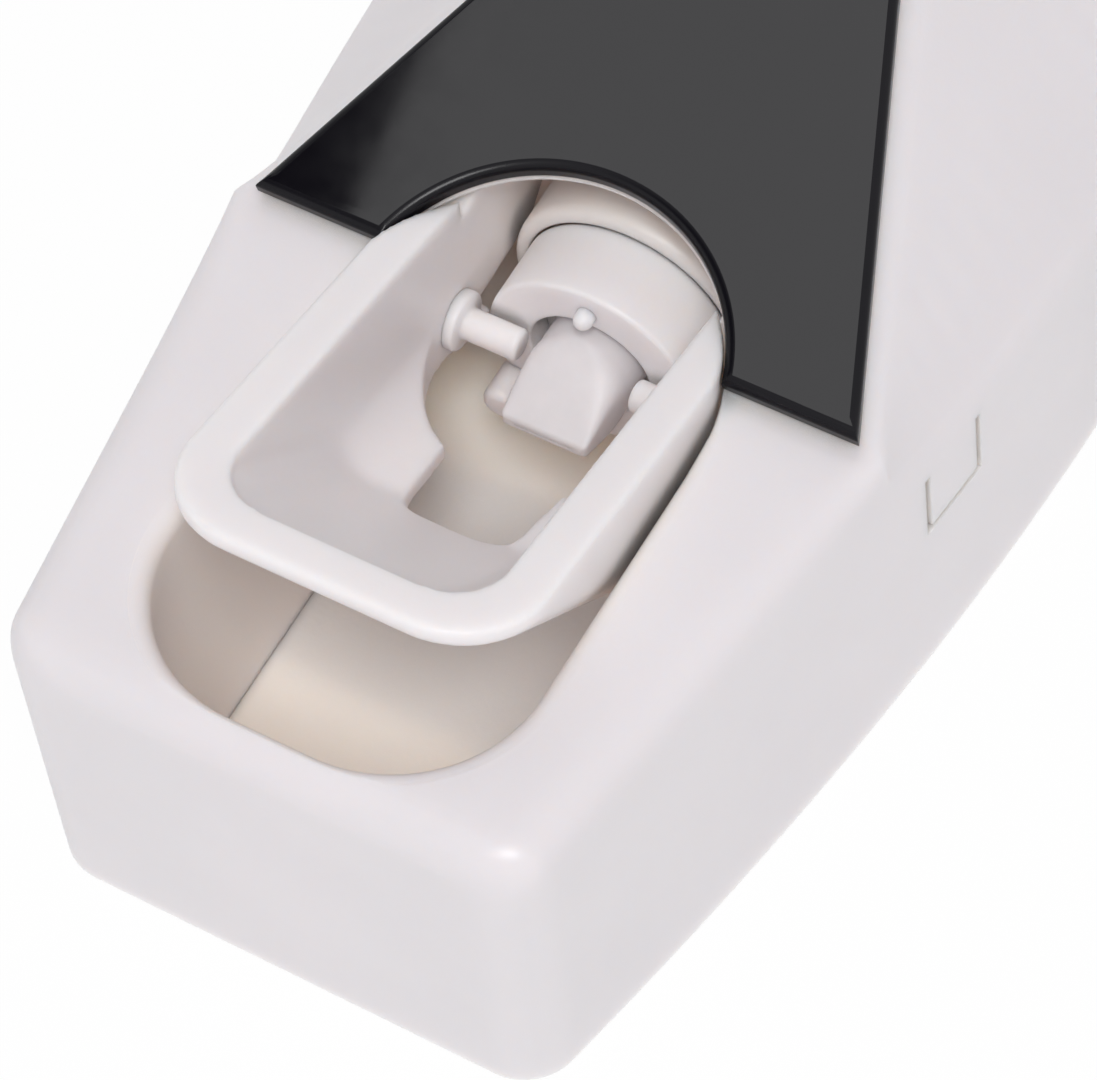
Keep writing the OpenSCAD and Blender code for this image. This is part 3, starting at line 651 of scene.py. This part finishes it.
def shell_ribs():
    """The skirt of the well, the pivot cheeks, and the screw posts with their webs."""
    top, r = NOTCH_H - 1, WELL_R + SKIRT_T
    outline = [(-r, top)] + [p for p in well_points(SKIRT_T) if p[1] < top] + [(r, top)]
    skirt = prism_y("skirt", outline, PAD_T + COVER_T + SKIRT_GAP, BASE_DEPTH)
    ribs = []
    for side in (-1, 1):
        x0, x1 = sorted((side * (WELL_R + 0.1), side * (WELL_R + 0.1 + CHEEK_T)))
        ribs.append(prism_x("cheek", CHEEK, x0, x1))
        for h in POST_HEIGHTS:
            start = (side * POST_X, POST_SPAN[0], h)
            ribs.append(rod("post", *POST_R, start, "y", POST_SPAN[1] - POST_SPAN[0]))
            x0, x1 = sorted((side * POST_X, side * (POST_X + WEB_LEN)))
            ribs.append(prism_y("web", box_outline(x0, x1, h, WEB_T / 2), *WEB_SPAN))
    combine(skirt, ribs, "UNION")
    limit = body_form("rib_limit", WALL / 2, PAD_T, WALL / 2, BODY_H - WALL / 2)
    return combine(skirt, [limit], "INTERSECT")


def build_shell():
    """The housing: a hollow body with its ribs, the well, the latches and the opening for the tube."""
    shell = body_form("shell", 0, PAD_T, 0, BODY_H)
    combine(shell, [body_form("hollow", WALL, PAD_T - 3, WALL, TOP_INNER)])
    combine(shell, [shell_ribs()], "UNION")
    tube_hole = rod("tube_hole", TUBE_R, TUBE_R, (0, PUMP_Y, TOP_INNER - 1), "z", 6, 128)
    combine(shell, [well_cutter(), tube_hole])
    combine(shell, latch_cuts())
    smooth(shell, 32)
    show(shell, "housing", "white_shell", "front_shell")


# The gloss panel

PANEL_LEN = (BODY_H - END_ROUND - 0.5 - PANEL_H0) / math.cos(LEAN)
PANEL_END_R = 3
PANEL_EDGE = 0.9
PANEL_DROP = 0.7
PANEL_LAP = 0.05


def panel_outline(inset):
    """Points (across, distance up the slope) round the panel, from its lower right corner."""
    steps = list(np.arange(0, PANEL_LEN - PANEL_END_R - 1, 1.5))
    side = [(panel_half(s) - inset, max(s, inset)) for s in steps]
    half, end = PANEL_TOP_W / 2 - inset, PANEL_LEN - PANEL_END_R
    top = [(half * math.cos(a), end + (PANEL_END_R - inset) * math.sin(a))
           for a in np.radians(np.arange(0, 181, 5))]
    r = NOTCH_R + inset
    start = math.asin((NOTCH_DROP + inset) / r)
    notch = [(r * math.cos(a), r * math.sin(a) - NOTCH_DROP)
             for a in np.linspace(math.pi - start, start, 61)]
    return side + top + [(-x, s) for x, s in reversed(side)] + notch


def on_slope(x, s, rise):
    """A point that lies rise above the sloping front, s up its slope from the panel's lower edge."""
    y = front_y(PANEL_H0) + s * math.sin(LEAN) + rise * math.cos(LEAN)
    return x, y, PANEL_H0 + s * math.cos(LEAN) - rise * math.sin(LEAN)


def build_panel():
    """A polished face set in a rounded black edge. Both are layers of (inset, rise above the shell)."""
    edge = [(0, TAPE_T)]
    for t in np.radians(range(0, 91, 15)):
        edge.append((PANEL_EDGE * (1 - math.cos(t)), PANEL_T - 0.01 - PANEL_DROP * (1 - math.sin(t))))
    lapped = PANEL_EDGE - PANEL_LAP
    face = [(lapped, PANEL_T - 0.3), (lapped, PANEL_T - 0.02), (PANEL_EDGE, PANEL_T)]
    for name, layers, slot, nodes in (("panel_edge", edge, "black_edge", []),
                                      ("panel_face", face, "black_gloss", ["front_panel"])):
        piece = loft(name, [[on_slope(x, s, rise) for x, s in panel_outline(inset)]
                            for inset, rise in layers])
        show(smooth(piece, 30), "housing", slot, *nodes)


# The lever

TRAY_BACK_H = 32
TRAY_BACK_Y = 26
TRAY_BACK_LEAN = math.radians(19)
WINDOW_H = 50
WINDOW_BOTTOM = 29.8
WINDOW_HALF = 6.4
WINDOW_FOOT = 5.2
WINDOW_CORNER_R = 3.5
RIM_CORNER_R = 8
RIM_T = 1.6
BALL_R = 6
SCOOP_CORNER_R = 5
SCOOP_BALL_R = 4.5
SCOOP_ABOVE = 12
ARM_T = 2.8
BOSS_R = 3.2
PIN_BORE_R = 1.55
LEVER_VOXEL = 0.26
LEVER_RELAX = 14
RIM_LEN = (RIM_TOP - LEVER_BOTTOM) / math.cos(RIM_LEAN)
INNER_HALF = LEVER_W / 2 - RIM_W
ARC_R = NOTCH_R - 0.2


def on_rim(x, s, rise):
    """A point on the plane of the lever's rim, s up it from the lower end and rise in front of it."""
    y = RIM_Y - s * math.sin(RIM_LEAN) + rise * math.cos(RIM_LEAN)
    return x, y, LEVER_BOTTOM + s * math.cos(RIM_LEAN) + rise * math.sin(RIM_LEAN)


def rim_points(half, low, high, r, rises):
    """The rim's outline from low to high up its plane, with lower corners of radius r, at some rises."""
    corner = arc(-half + r, low + r, r, 180, 270, 16) + arc(half - r, low + r, r, 270, 360, 16)
    outline = corner + [(half, high), (-half, high)]
    return [on_rim(x, s, rise) for rise in rises for x, s in outline]


def ball_points(half, r, depth, heights, steps=24):
    """Points of balls at both sides, depth in front of the tray's back, that round its back corners."""
    points = []
    for side in (-1, 1):
        for h in heights:
            fall = math.tan(TRAY_BACK_LEAN) * (h - TRAY_BACK_H)
            cy = TRAY_BACK_Y - fall + depth * math.cos(TRAY_BACK_LEAN)
            cz = h + depth * math.sin(TRAY_BACK_LEAN)
            for i in range(1, steps):
                for j in range(2 * steps):
                    a, b = math.pi * i / steps, 2 * math.pi * j / (2 * steps)
                    points.append((side * (half - r) + r * math.sin(a) * math.cos(b),
                                   cy + r * math.sin(a) * math.sin(b), cz + r * math.cos(a)))
    return points


def hull(name, points):
    """The convex hull of points in millimetres."""
    mesh = bpy.data.meshes.new(name)
    bm = bmesh.new()
    for p in place(points):
        bm.verts.new(p)
    found = bmesh.ops.convex_hull(bm, input=bm.verts)
    spare = [v for v in found["geom_interior"] + found["geom_unused"] if isinstance(v, bmesh.types.BMVert)]
    bmesh.ops.delete(bm, geom=list(set(spare)), context="VERTS")
    bmesh.ops.recalc_face_normals(bm, faces=bm.faces)
    bm.to_mesh(mesh)
    bm.free()
    obj = bpy.data.objects.new(name, mesh)
    bpy.context.scene.collection.objects.link(obj)
    return obj


def lever_window():
    """Keyhole: a round hole that clears the pump, and below it a slot that narrows to rounded corners."""
    low = WINDOW_BOTTOM + WINDOW_CORNER_R
    foot = WINDOW_FOOT - WINDOW_CORNER_R
    slot = (arc(-foot, low, WINDOW_CORNER_R, 184, 270, 12) + arc(foot, low, WINDOW_CORNER_R, 270, 356, 12)
            + [(WINDOW_HALF, WINDOW_H), (-WINDOW_HALF, WINDOW_H)])
    cut = prism_y("window_slot", slot, 0, TRAY_BACK_Y + 9)
    r = INNER_HALF - 0.1
    hole = rod("window_round", r, r, (0, 0.1, WINDOW_H), "y", TRAY_BACK_Y + 8.8, 96)
    return combine(cut, [hole], "UNION")


def arc_limit(y0=-1):
    """What lies above the arc that the lever's upper end follows, from depth y0 on."""
    h0, h1 = NOTCH_H - 0.2, NOTCH_H + 30
    outline = [(LEVER_W, h0), (LEVER_W, h1), (-LEVER_W, h1), (-LEVER_W, h0)]
    outline += [(ARC_R * math.cos(a), h0 + ARC_R * math.sin(a) * math.cos(LEAN))
                for a in np.linspace(math.pi, 0, 61)]
    return prism_y("arc_limit", outline, y0, RIM_Y + 6)


def rim_y(h):
    """The depth of the rim's plane at a height."""
    return RIM_Y - (h - LEVER_BOTTOM) * math.tan(RIM_LEAN)


def arm_front(h):
    """A point just behind the shell's front wall, which the arm follows."""
    return max(front_y(h), BEND_DEPTH) - WALL / math.cos(LEAN) - FIT_GAP - 0.1, h


# Points (depth, height) round an arm from its foot, and round the part that joins it to the rim
ARM_OUTLINE = [arm_front(46.5), arm_front(BEND_H), arm_front(56.5), arm_front(62),
               (PIVOT_Y + 2.5, 67), (PIVOT_Y + 2.5, PIVOT_H), (35, 73), (29, 72.5),
               (22, 66), (PUMP_Y - 1.2, 49), (24, 42), (30, 40)]
ARM_ROOT = [(28, 44), (rim_y(44) - 0.05, 44), (rim_y(57) - 0.05, 57), (28, 57)]


def build_lever():
    """A tray hollowed by a smaller one, with its window, two arms with pivot bosses, and two pegs."""
    half, heights = LEVER_W / 2, (TRAY_BACK_H, WINDOW_H)
    tray = hull("lever", rim_points(half, 0, RIM_LEN, RIM_CORNER_R, (-RIM_T, 0))
                + ball_points(half, BALL_R, BALL_R, heights))
    heights = (TRAY_BACK_H, WINDOW_H + SCOOP_ABOVE)
    scoop = hull("scoop", rim_points(INNER_HALF, RIM_W, RIM_LEN + SCOOP_ABOVE, SCOOP_CORNER_R, (-1, 3))
                 + ball_points(INNER_HALF, SCOOP_BALL_R, LEVER_FLOOR + SCOOP_BALL_R, heights))
    above = [(-1, RIM_TOP), (RIM_Y + 5, RIM_TOP), (RIM_Y + 5, 90), (-1, 90)]
    combine(tray, [scoop, prism_x("top_cut", above, -LEVER_W, LEVER_W), arc_limit(), lever_window()])
    parts = []
    for side in (-1, 1):
        x0, x1 = sorted((side * INNER_HALF, side * (INNER_HALF + ARM_T)))
        parts.append(prism_x("arm", ARM_OUTLINE, x0, x1))
        root = prism_x("arm_root", ARM_ROOT, x0, x1)
        parts.append(combine(root, [arc_limit(arm_front(BEND_H)[0] - 0.2)]))
        b0, b1 = sorted((side * INNER_HALF, side * (LEVER_W / 2 + 0.2)))
        parts.append(rod("boss", BOSS_R, BOSS_R, (b0, PIVOT_Y, PIVOT_H), "x", b1 - b0))
    combine(tray, parts, "UNION")
    start = (-LEVER_W, PIVOT_Y, PIVOT_H)
    combine(tray, [rod("bore", PIN_BORE_R, PIN_BORE_R, start, "x", 2 * LEVER_W)])
    soften(tray, LEVER_VOXEL, LEVER_RELAX)
    show(tray, "lever", "white_lever", "push_lever")
    build_pegs()


def soften(obj, voxel, rounds):
    """Rounds every edge of a moulding: an even mesh of the solid, then a little smoothing."""
    remesh = obj.modifiers.new("remesh", "REMESH")
    remesh.mode = "VOXEL"
    remesh.voxel_size = voxel * MM
    relax = obj.modifiers.new("relax", "SMOOTH")
    relax.factor = 0.5
    relax.iterations = rounds
    apply_modifiers(obj)
    obj.data.shade_smooth()


PEG_R = 1.5
PEG_TIP = 5.5
PEG_FLANGE_R = 2.8
PEG_FLANGE_X = INNER_HALF - 1.1
PEG_H = COLLAR_H - PEG_R - 0.5
PEG_Y = PUMP_Y + 1.7


def turned(name, profile, start, axis, sides=64):
    """A solid turned about axis x, -x or z, from points (distance along it, radius), with closed ends."""
    rings = []
    for t, r in profile:
        ring = []
        for i in range(sides):
            a = 2 * math.pi * i / sides
            u, v = r * math.cos(a), r * math.sin(a)
            offset = {"x": (t, u, v), "-x": (-t, u, v), "z": (u, v, t)}[axis]
            ring.append(tuple(s + o for s, o in zip(start, offset)))
        rings.append(ring)
    return loft(name, rings)


def fillet(t, r, size, steps=5):
    """Quarter round at (t, r), where the surface goes from an end face to the side as t grows."""
    points = []
    for i in range(steps + 1):
        a = math.pi / 2 * i / steps
        points.append((t + size * (1 - math.cos(a)), r - size * (1 - math.sin(a))))
    return points


def build_pegs():
    """The two pegs that lift the collar, each with a flange at the lever's side."""
    length, flange = INNER_HALF + 0.4 - PEG_TIP, PEG_FLANGE_X - PEG_TIP
    profile = (fillet(0, PEG_R, 0.45) + [(flange - 0.25, PEG_R), (flange - 0.05, PEG_R + 0.2)]
               + fillet(flange, PEG_FLANGE_R, 0.3) + [(length, PEG_FLANGE_R)])
    for name, side, axis in (("lever_peg_right", 1, "x"), ("lever_peg_left", -1, "-x")):
        peg = turned(name, profile, (side * PEG_TIP, PEG_Y, PEG_H), axis)
        show(smooth(peg, 50), "lever", "white_lever")


# Round pieces on the pump's axis

def ring_solid(name, profile, sides=128):
    """A closed ring from a closed outline of points (radius, height)."""
    points, faces = [], []
    n = len(profile)
    for i in range(sides):
        a = 2 * math.pi * i / sides
        points += [(r * math.cos(a), PUMP_Y + r * math.sin(a), h) for r, h in profile]
    for i in range(sides):
        for j in range(n):
            k, m = (i + 1) % sides, (j + 1) % n
            faces.append((i * n + j, i * n + m, k * n + m, k * n + j))
    return make(name, points, faces)


def stroke(corners):
    """A closed outline from corners (radius, height, rounding)."""
    out = []
    points = [(r, h) for r, h, _ in corners]
    for i, (r, h, size) in enumerate(corners):
        if size == 0:
            out.append((r, h))
        else:
            out += round_corner(points[i - 1], (r, h), points[(i + 1) % len(points)], size, 5)
    return out


COLLAR_R = 10.05
COLLAR_TOP = COLLAR_H + 7.5
SEAT_R = 5.9
SEAT_TOP = COLLAR_H + 5.5
STEM_R = 5.4
STEM_BORE_R = 3
STEM_TOP = 71
HEAD_R = 7.6
HEAD_BOTTOM = 70.3
HEAD_TOP = 75.7
GROOVE_R = 6
GROOVE_TOP = 75
# Points (height from the collar's lower face, radius) of the small parts under the collar
NUB = [(-1.55, 0.05), (-1.5, 0.35), (-1.3, 0.65), (-1.0, 0.83), (-0.7, 0.9), (0.5, 0.9)]
NUB_AT = (0, PUMP_Y + 7.4, COLLAR_H)
TAB = [(-3.62, 0.9), (-3.6, 1.1), (-3.45, 1.45), (-3.1, 1.68), (-2.8, 1.7), (0.5, 1.7)]
TAB_X = 7.6
TAB_Y = PUMP_Y - 7


def build_collar():
    """The piston: the collar with its stem, nub and tabs, and the head that carries the seal."""
    outline = stroke([(SEAT_R, COLLAR_H, 0.3), (COLLAR_R, COLLAR_H, 0.45),
                      (COLLAR_R - 0.03, COLLAR_TOP, 0.6), (STEM_R, COLLAR_TOP, 0.4),
                      (STEM_R, STEM_TOP, 0), (STEM_BORE_R, STEM_TOP, 0),
                      (STEM_BORE_R, SEAT_TOP, 0.2), (SEAT_R, SEAT_TOP, 0.3)])
    show(smooth(ring_solid("collar", outline), 40), "piston", "white_collar", "pump_collar")
    head = [(HEAD_R, HEAD_BOTTOM), (HEAD_R, STEM_TOP), (GROOVE_R, STEM_TOP), (GROOVE_R, GROOVE_TOP),
            (HEAD_R, GROOVE_TOP), (HEAD_R, HEAD_TOP), (STEM_BORE_R, HEAD_TOP), (STEM_BORE_R, HEAD_BOTTOM)]
    show(smooth(ring_solid("piston_head", head, 64), 40), "piston", "white_collar")
    show(smooth(turned("collar_nub", NUB, NUB_AT, "z", 32), 50), "piston", "white_collar")
    for name, side in (("collar_tab_right", 1), ("collar_tab_left", -1)):
        tab = turned(name, TAB, (side * TAB_X, TAB_Y, COLLAR_H), "z", 48)
        show(smooth(tab, 50), "piston", "white_collar")


NOZZLE_TIP = COLLAR_H - 8.5
NOZZLE_BASE = COLLAR_H - 1
NOZZLE_R = 4.7
NOZZLE_W = 8.4
NOZZLE_T = 1.8
NOZZLE_END = ((0, 1.1), (0.05, 0.75), (0.15, 0.4), (0.3, 0.15), (0.5, 0))
NOZZLE_RISE = 0.6
NOZZLE_STEPS = 12
NOZZLE_SLIT_W = NOZZLE_W - 2.8
NOZZLE_SLIT_T = 0.12


def nozzle_ring(h, blend, less=0, sides=96):
    """The nozzle's section: a circle at blend 0 and a rounded slab at blend 1, smaller by less."""
    width, thick = NOZZLE_W - less, NOZZLE_T - less
    ring = []
    for i in range(sides):
        a = 2 * math.pi * i / sides
        c, s = math.cos(a), math.sin(a)
        power = 2 + 6 * blend
        x = math.copysign(abs(c) ** (2 / power), c)
        y = math.copysign(abs(s) ** (2 / power), s)
        half_w = NOZZLE_R + (width / 2 - NOZZLE_R) * blend
        half_t = NOZZLE_R + (thick / 2 - NOZZLE_R) * blend
        ring.append((half_w * x, PUMP_Y + half_t * y, h))
    return ring


def prism_z(name, outline, h0, h1):
    """An outline of points (across, depth) carried from height h0 to h1."""
    return loft(name, [[(x, y, h) for x, y in outline] for h in (h0, h1)])


def build_nozzle():
    """The flat rubber nozzle: round in the collar, and narrowing to a slit lip."""
    rings = [nozzle_ring(NOZZLE_TIP + rise, 1, less) for rise, less in NOZZLE_END]
    for i in range(1, NOZZLE_STEPS + 1):
        u = i / NOZZLE_STEPS
        h = NOZZLE_TIP + NOZZLE_RISE + (NOZZLE_BASE - NOZZLE_TIP - NOZZLE_RISE) * u
        rings.append(nozzle_ring(h, 1 - u))
    rings += [nozzle_ring(NOZZLE_BASE + 0.4, 0), nozzle_ring(SEAT_TOP - 0.6, 0)]
    nozzle = loft("nozzle", rings)
    slit = box_outline(-NOZZLE_SLIT_W / 2, NOZZLE_SLIT_W / 2, PUMP_Y, NOZZLE_SLIT_T / 2)
    combine(nozzle, [prism_z("slit", slit, NOZZLE_TIP - 1, NOZZLE_TIP + 1.2)])
    show(smooth(nozzle, 38), "piston", "white_silicone", "outlet_valve")


SLEEVE_R = 11.6
SLEEVE_H = 61.6
SLEEVE_TOP = 87.9
CHAMBER_TOP = 84.9
CHAMBER_R = 8.4
CHAMBER_H = 69
MOUTH_R = COLLAR_R + 0.05
PORT_R = 1.3
PORT_OUT = 3.6
EAR_X = SLEEVE_R + 5.9
EAR_R = 3.2
SCREW_HOLE_R = 1.4
FLANGE_H = 78.4
FLANGE_T = 2.4


def build_cylinder():
    """The pump's cylinder: a sleeve with a rounded mouth, a flange with two ears, and ports in its roof."""
    outline = stroke([(MOUTH_R, SLEEVE_H, 0.3), (SLEEVE_R, SLEEVE_H, 1.1), (SLEEVE_R, SLEEVE_TOP, 0.3),
                      (PORT_R, SLEEVE_TOP, 0), (PORT_R, CHAMBER_TOP, 0), (CHAMBER_R, CHAMBER_TOP, 0),
                      (CHAMBER_R, CHAMBER_H, 0), (MOUTH_R, CHAMBER_H, 0)])
    sleeve = ring_solid("pump_sleeve", outline)

    def upright(name, r, x, y, h, length, sides=64):
        return rod(name, r, r, (x, y, h), "z", length, sides)

    plate = upright("flange", SLEEVE_R + 2, 0, PUMP_Y, FLANGE_H, FLANGE_T, 128)
    bridge = box_outline(-EAR_X, EAR_X, PUMP_Y, EAR_R)
    added = [prism_z("bridge", bridge, FLANGE_H, FLANGE_H + FLANGE_T)]
    cut = [upright("middle", SLEEVE_R - 0.8, 0, PUMP_Y, FLANGE_H - 1, FLANGE_T + 2, 128)]
    for x in (-EAR_X, EAR_X):
        added.append(upright("ear", EAR_R, x, PUMP_Y, FLANGE_H, FLANGE_T))
        cut.append(upright("screw_hole", SCREW_HOLE_R, x, PUMP_Y, FLANGE_H - 1, FLANGE_T + 2))
    combine(plate, added, "UNION")
    combine(plate, cut)
    combine(sleeve, [plate], "UNION")
    ports = []
    for a in np.radians(range(0, 360, 60)):
        x, y = PORT_OUT * math.cos(a), PUMP_Y + PORT_OUT * math.sin(a)
        ports.append(upright("port", PORT_R, x, y, CHAMBER_TOP - 1, 6, 32))
    combine(sleeve, ports)
    show(smooth(sleeve, 40), "housing", "natural_plastic", "pump_cylinder")


SPRING_R = 6.6
SPRING_TURNS = 5
SPRING_WIRE_R = 0.45
SPRING_TURN_STEPS = 36
SPRING_SIDES = 12
SPRING_H0 = 76.2
SPRING_H1 = CHAMBER_TOP - 0.5


def build_spring():
    """The return spring, which in the pump is pressed together as the piston rises: here one tube along a
    helix that moves with the piston, with a mesh of its own.
    """
    steps = SPRING_TURN_STEPS * SPRING_TURNS
    rings = []
    for i in range(steps + 1):
        a = 2 * math.pi * SPRING_TURNS * i / steps
        h = SPRING_H0 + (SPRING_H1 - SPRING_H0) * i / steps
        ring = []
        for j in range(SPRING_SIDES):
            b = 2 * math.pi * j / SPRING_SIDES
            r = SPRING_R + SPRING_WIRE_R * math.cos(b)
            ring.append((r * math.cos(a), PUMP_Y + r * math.sin(a), h + SPRING_WIRE_R * math.sin(b)))
        rings.append(ring)
    spring = smooth(loft("spring", rings), 60)
    show(spring, "piston", "steel", "return_spring")
    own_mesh(spring)


RING_BORE_R = TUBE_R - 2.3
RING_NECK_R = TUBE_R - 0.1
RING_R = TUBE_R + 1.4
RING_TOP = BODY_H + 1.5


def build_top_ring():
    """The soft ring round the tube, with a neck in the top's opening and a lip on top of it."""
    low, seat = TOP_INNER - 0.2, BODY_H + 0.02
    outline = stroke([(RING_BORE_R, low, 0.6), (RING_NECK_R, low, 0.2), (RING_NECK_R, seat, 0.1),
                      (RING_R, seat, 0.1), (RING_R, RING_TOP, 0.9), (RING_BORE_R, RING_TOP, 0.7)])
    show(smooth(ring_solid("soft_ring", outline, 160), 40), "housing", "soft_ring", "top_ring")


# Stage, light and finish. The positions and sizes here are in metres.

WORLD_FRONT = 0.5
WORLD_BACK = 0.95
WORLD_TURN = (-0.05, 0.1)
FLOOR_HALF = 0.9
FLOOR_Y = 0.0004
FLOOR_GREY = (0.93, 0.93, 0.93, 1)
FLOOR_SHARE = 0.94
FLAG_Y = -0.7
FLAG_X = (-1.0, -0.276)
FLAG_Z = (-0.6, 0.12)
FLAG_BLACK = (0.005, 0.005, 0.005, 1)
AIM = (0, -0.03, 0)
KEY = {"position": (-0.35, -0.8, 0.5), "size": 0.6, "power": 0.5}
FILL = {"position": (0.20, -0.71, -0.36), "size": 0.25, "power": 3.0}
MAX_BOUNCES = 24
DIFFUSE_BOUNCES = 20


def camera_or_mirror_ray(nodes, links):
    """1 for rays from the camera and for those that mirror or pass on what the camera sees."""
    path = nodes.new("ShaderNodeLightPath")
    total = None
    for name in ("Is Camera Ray", "Is Glossy Ray", "Is Transmission Ray"):
        if total is None:
            total = path.outputs[name]
        else:
            add = nodes.new("ShaderNodeMath")
            add.operation = "MAXIMUM"
            links.new(total, add.inputs[0])
            links.new(path.outputs[name], add.inputs[1])
            total = add.outputs[0]
    return total


def build_world():
    """Even light, stronger from behind, where it stands for what the floor throws back."""
    world = bpy.data.worlds.new("world")
    bpy.context.scene.world = world
    world.use_nodes = True
    nodes, links = world.node_tree.nodes, world.node_tree.links
    background = nodes["Background"]
    background.inputs["Color"].default_value = (1, 1, 1, 1)
    direction = nodes.new("ShaderNodeTexCoord")
    split = nodes.new("ShaderNodeSeparateXYZ")
    links.new(direction.outputs["Generated"], split.inputs["Vector"])
    light = nodes.new("ShaderNodeMapRange")
    light.inputs["From Min"].default_value = WORLD_TURN[0]
    light.inputs["From Max"].default_value = WORLD_TURN[1]
    light.inputs["To Min"].default_value = WORLD_FRONT
    light.inputs["To Max"].default_value = WORLD_BACK
    links.new(split.outputs["Y"], light.inputs["Value"])
    strength = nodes.new("ShaderNodeMix")
    strength.data_type = "FLOAT"
    strength.inputs["B"].default_value = 1
    links.new(light.outputs["Result"], strength.inputs["A"])
    links.new(camera_or_mirror_ray(nodes, links), strength.inputs["Factor"])
    links.new(strength.outputs["Result"], background.inputs["Strength"])


def stage_plane(name, y, x_span, z_span):
    """An upright plane that faces the viewer, with a new material."""
    mesh = bpy.data.meshes.new(name)
    (x0, x1), (z0, z1) = x_span, z_span
    mesh.from_pydata([(x0, y, z0), (x1, y, z0), (x1, y, z1), (x0, y, z1)], [], [(0, 1, 2, 3)])
    plane = bpy.data.objects.new(name, mesh)
    bpy.context.scene.collection.objects.link(plane)
    m, nodes, links, bsdf = new_material(name)
    mesh.materials.append(m)
    return plane, nodes, links, bsdf


def build_floor():
    """A pale floor that the dispenser's back lies on. It shows from its front side only."""
    span = (-FLOOR_HALF, FLOOR_HALF)
    floor, nodes, links, bsdf = stage_plane("floor", FLOOR_Y, span, span)
    bsdf.inputs["Base Color"].default_value = FLOOR_GREY
    bsdf.inputs["Roughness"].default_value = 0.9
    bsdf.inputs["Specular IOR Level"].default_value = 0.0
    glow = nodes.new("ShaderNodeEmission")
    glow.inputs["Strength"].default_value = 1
    share = nodes.new("ShaderNodeMath")
    share.operation = "MULTIPLY"
    share.inputs[1].default_value = FLOOR_SHARE
    links.new(camera_or_mirror_ray(nodes, links), share.inputs[0])
    lit = nodes.new("ShaderNodeMixShader")
    links.new(share.outputs[0], lit.inputs["Fac"])
    links.new(bsdf.outputs[0], lit.inputs[1])
    links.new(glow.outputs[0], lit.inputs[2])
    side = nodes.new("ShaderNodeNewGeometry")
    clear = nodes.new("ShaderNodeBsdfTransparent")
    mix = nodes.new("ShaderNodeMixShader")
    links.new(side.outputs["Backfacing"], mix.inputs["Fac"])
    links.new(lit.outputs[0], mix.inputs[1])
    links.new(clear.outputs[0], mix.inputs[2])
    links.new(mix.outputs[0], nodes["Material Output"].inputs["Surface"])
    floor.visible_diffuse = floor.visible_shadow = False


def add_flag():
    """A black board to the left, which only shows as a dark reflection in glossy surfaces."""
    flag, _, _, bsdf = stage_plane("flag", FLAG_Y, FLAG_X, FLAG_Z)
    bsdf.inputs["Base Color"].default_value = FLAG_BLACK
    bsdf.inputs["Specular IOR Level"].default_value = 0
    flag.visible_camera = flag.visible_diffuse = flag.visible_transmission = flag.visible_shadow = False


def area_light(name, position, size, power):
    """A round white lamp that points at the dispenser."""
    data = bpy.data.lights.new(name, "AREA")
    data.shape = "DISK"
    data.size = size
    data.energy = power
    light = bpy.data.objects.new(name, data)
    light.location = position
    light.rotation_euler = (Vector(AIM) - Vector(position)).to_track_quat("-Z", "Y").to_euler()
    bpy.context.scene.collection.objects.link(light)


def finish_nodes():
    """Gives every CAD node that stays its material."""
    slots = {entry["node"]: entry["material_slot"] for entry in frame["record"]["subparts"]}
    for name, obj in frame["nodes"].items():
        obj.data.materials.clear()
        obj.data.materials.append(MATERIALS[slots[name]])


def main():
    add_camera()
    build_world()
    build_floor()
    area_light("key", **KEY)
    area_light("fill", **FILL)
    add_flag()
    finish_nodes()
    build_shell()
    build_panel()
    build_lever()
    build_collar()
    build_nozzle()
    build_cylinder()
    build_spring()
    build_top_ring()
    scene = bpy.context.scene
    scene.view_settings.view_transform = "Standard"
    scene.cycles.max_bounces = MAX_BOUNCES
    scene.cycles.diffuse_bounces = DIFFUSE_BOUNCES


main()
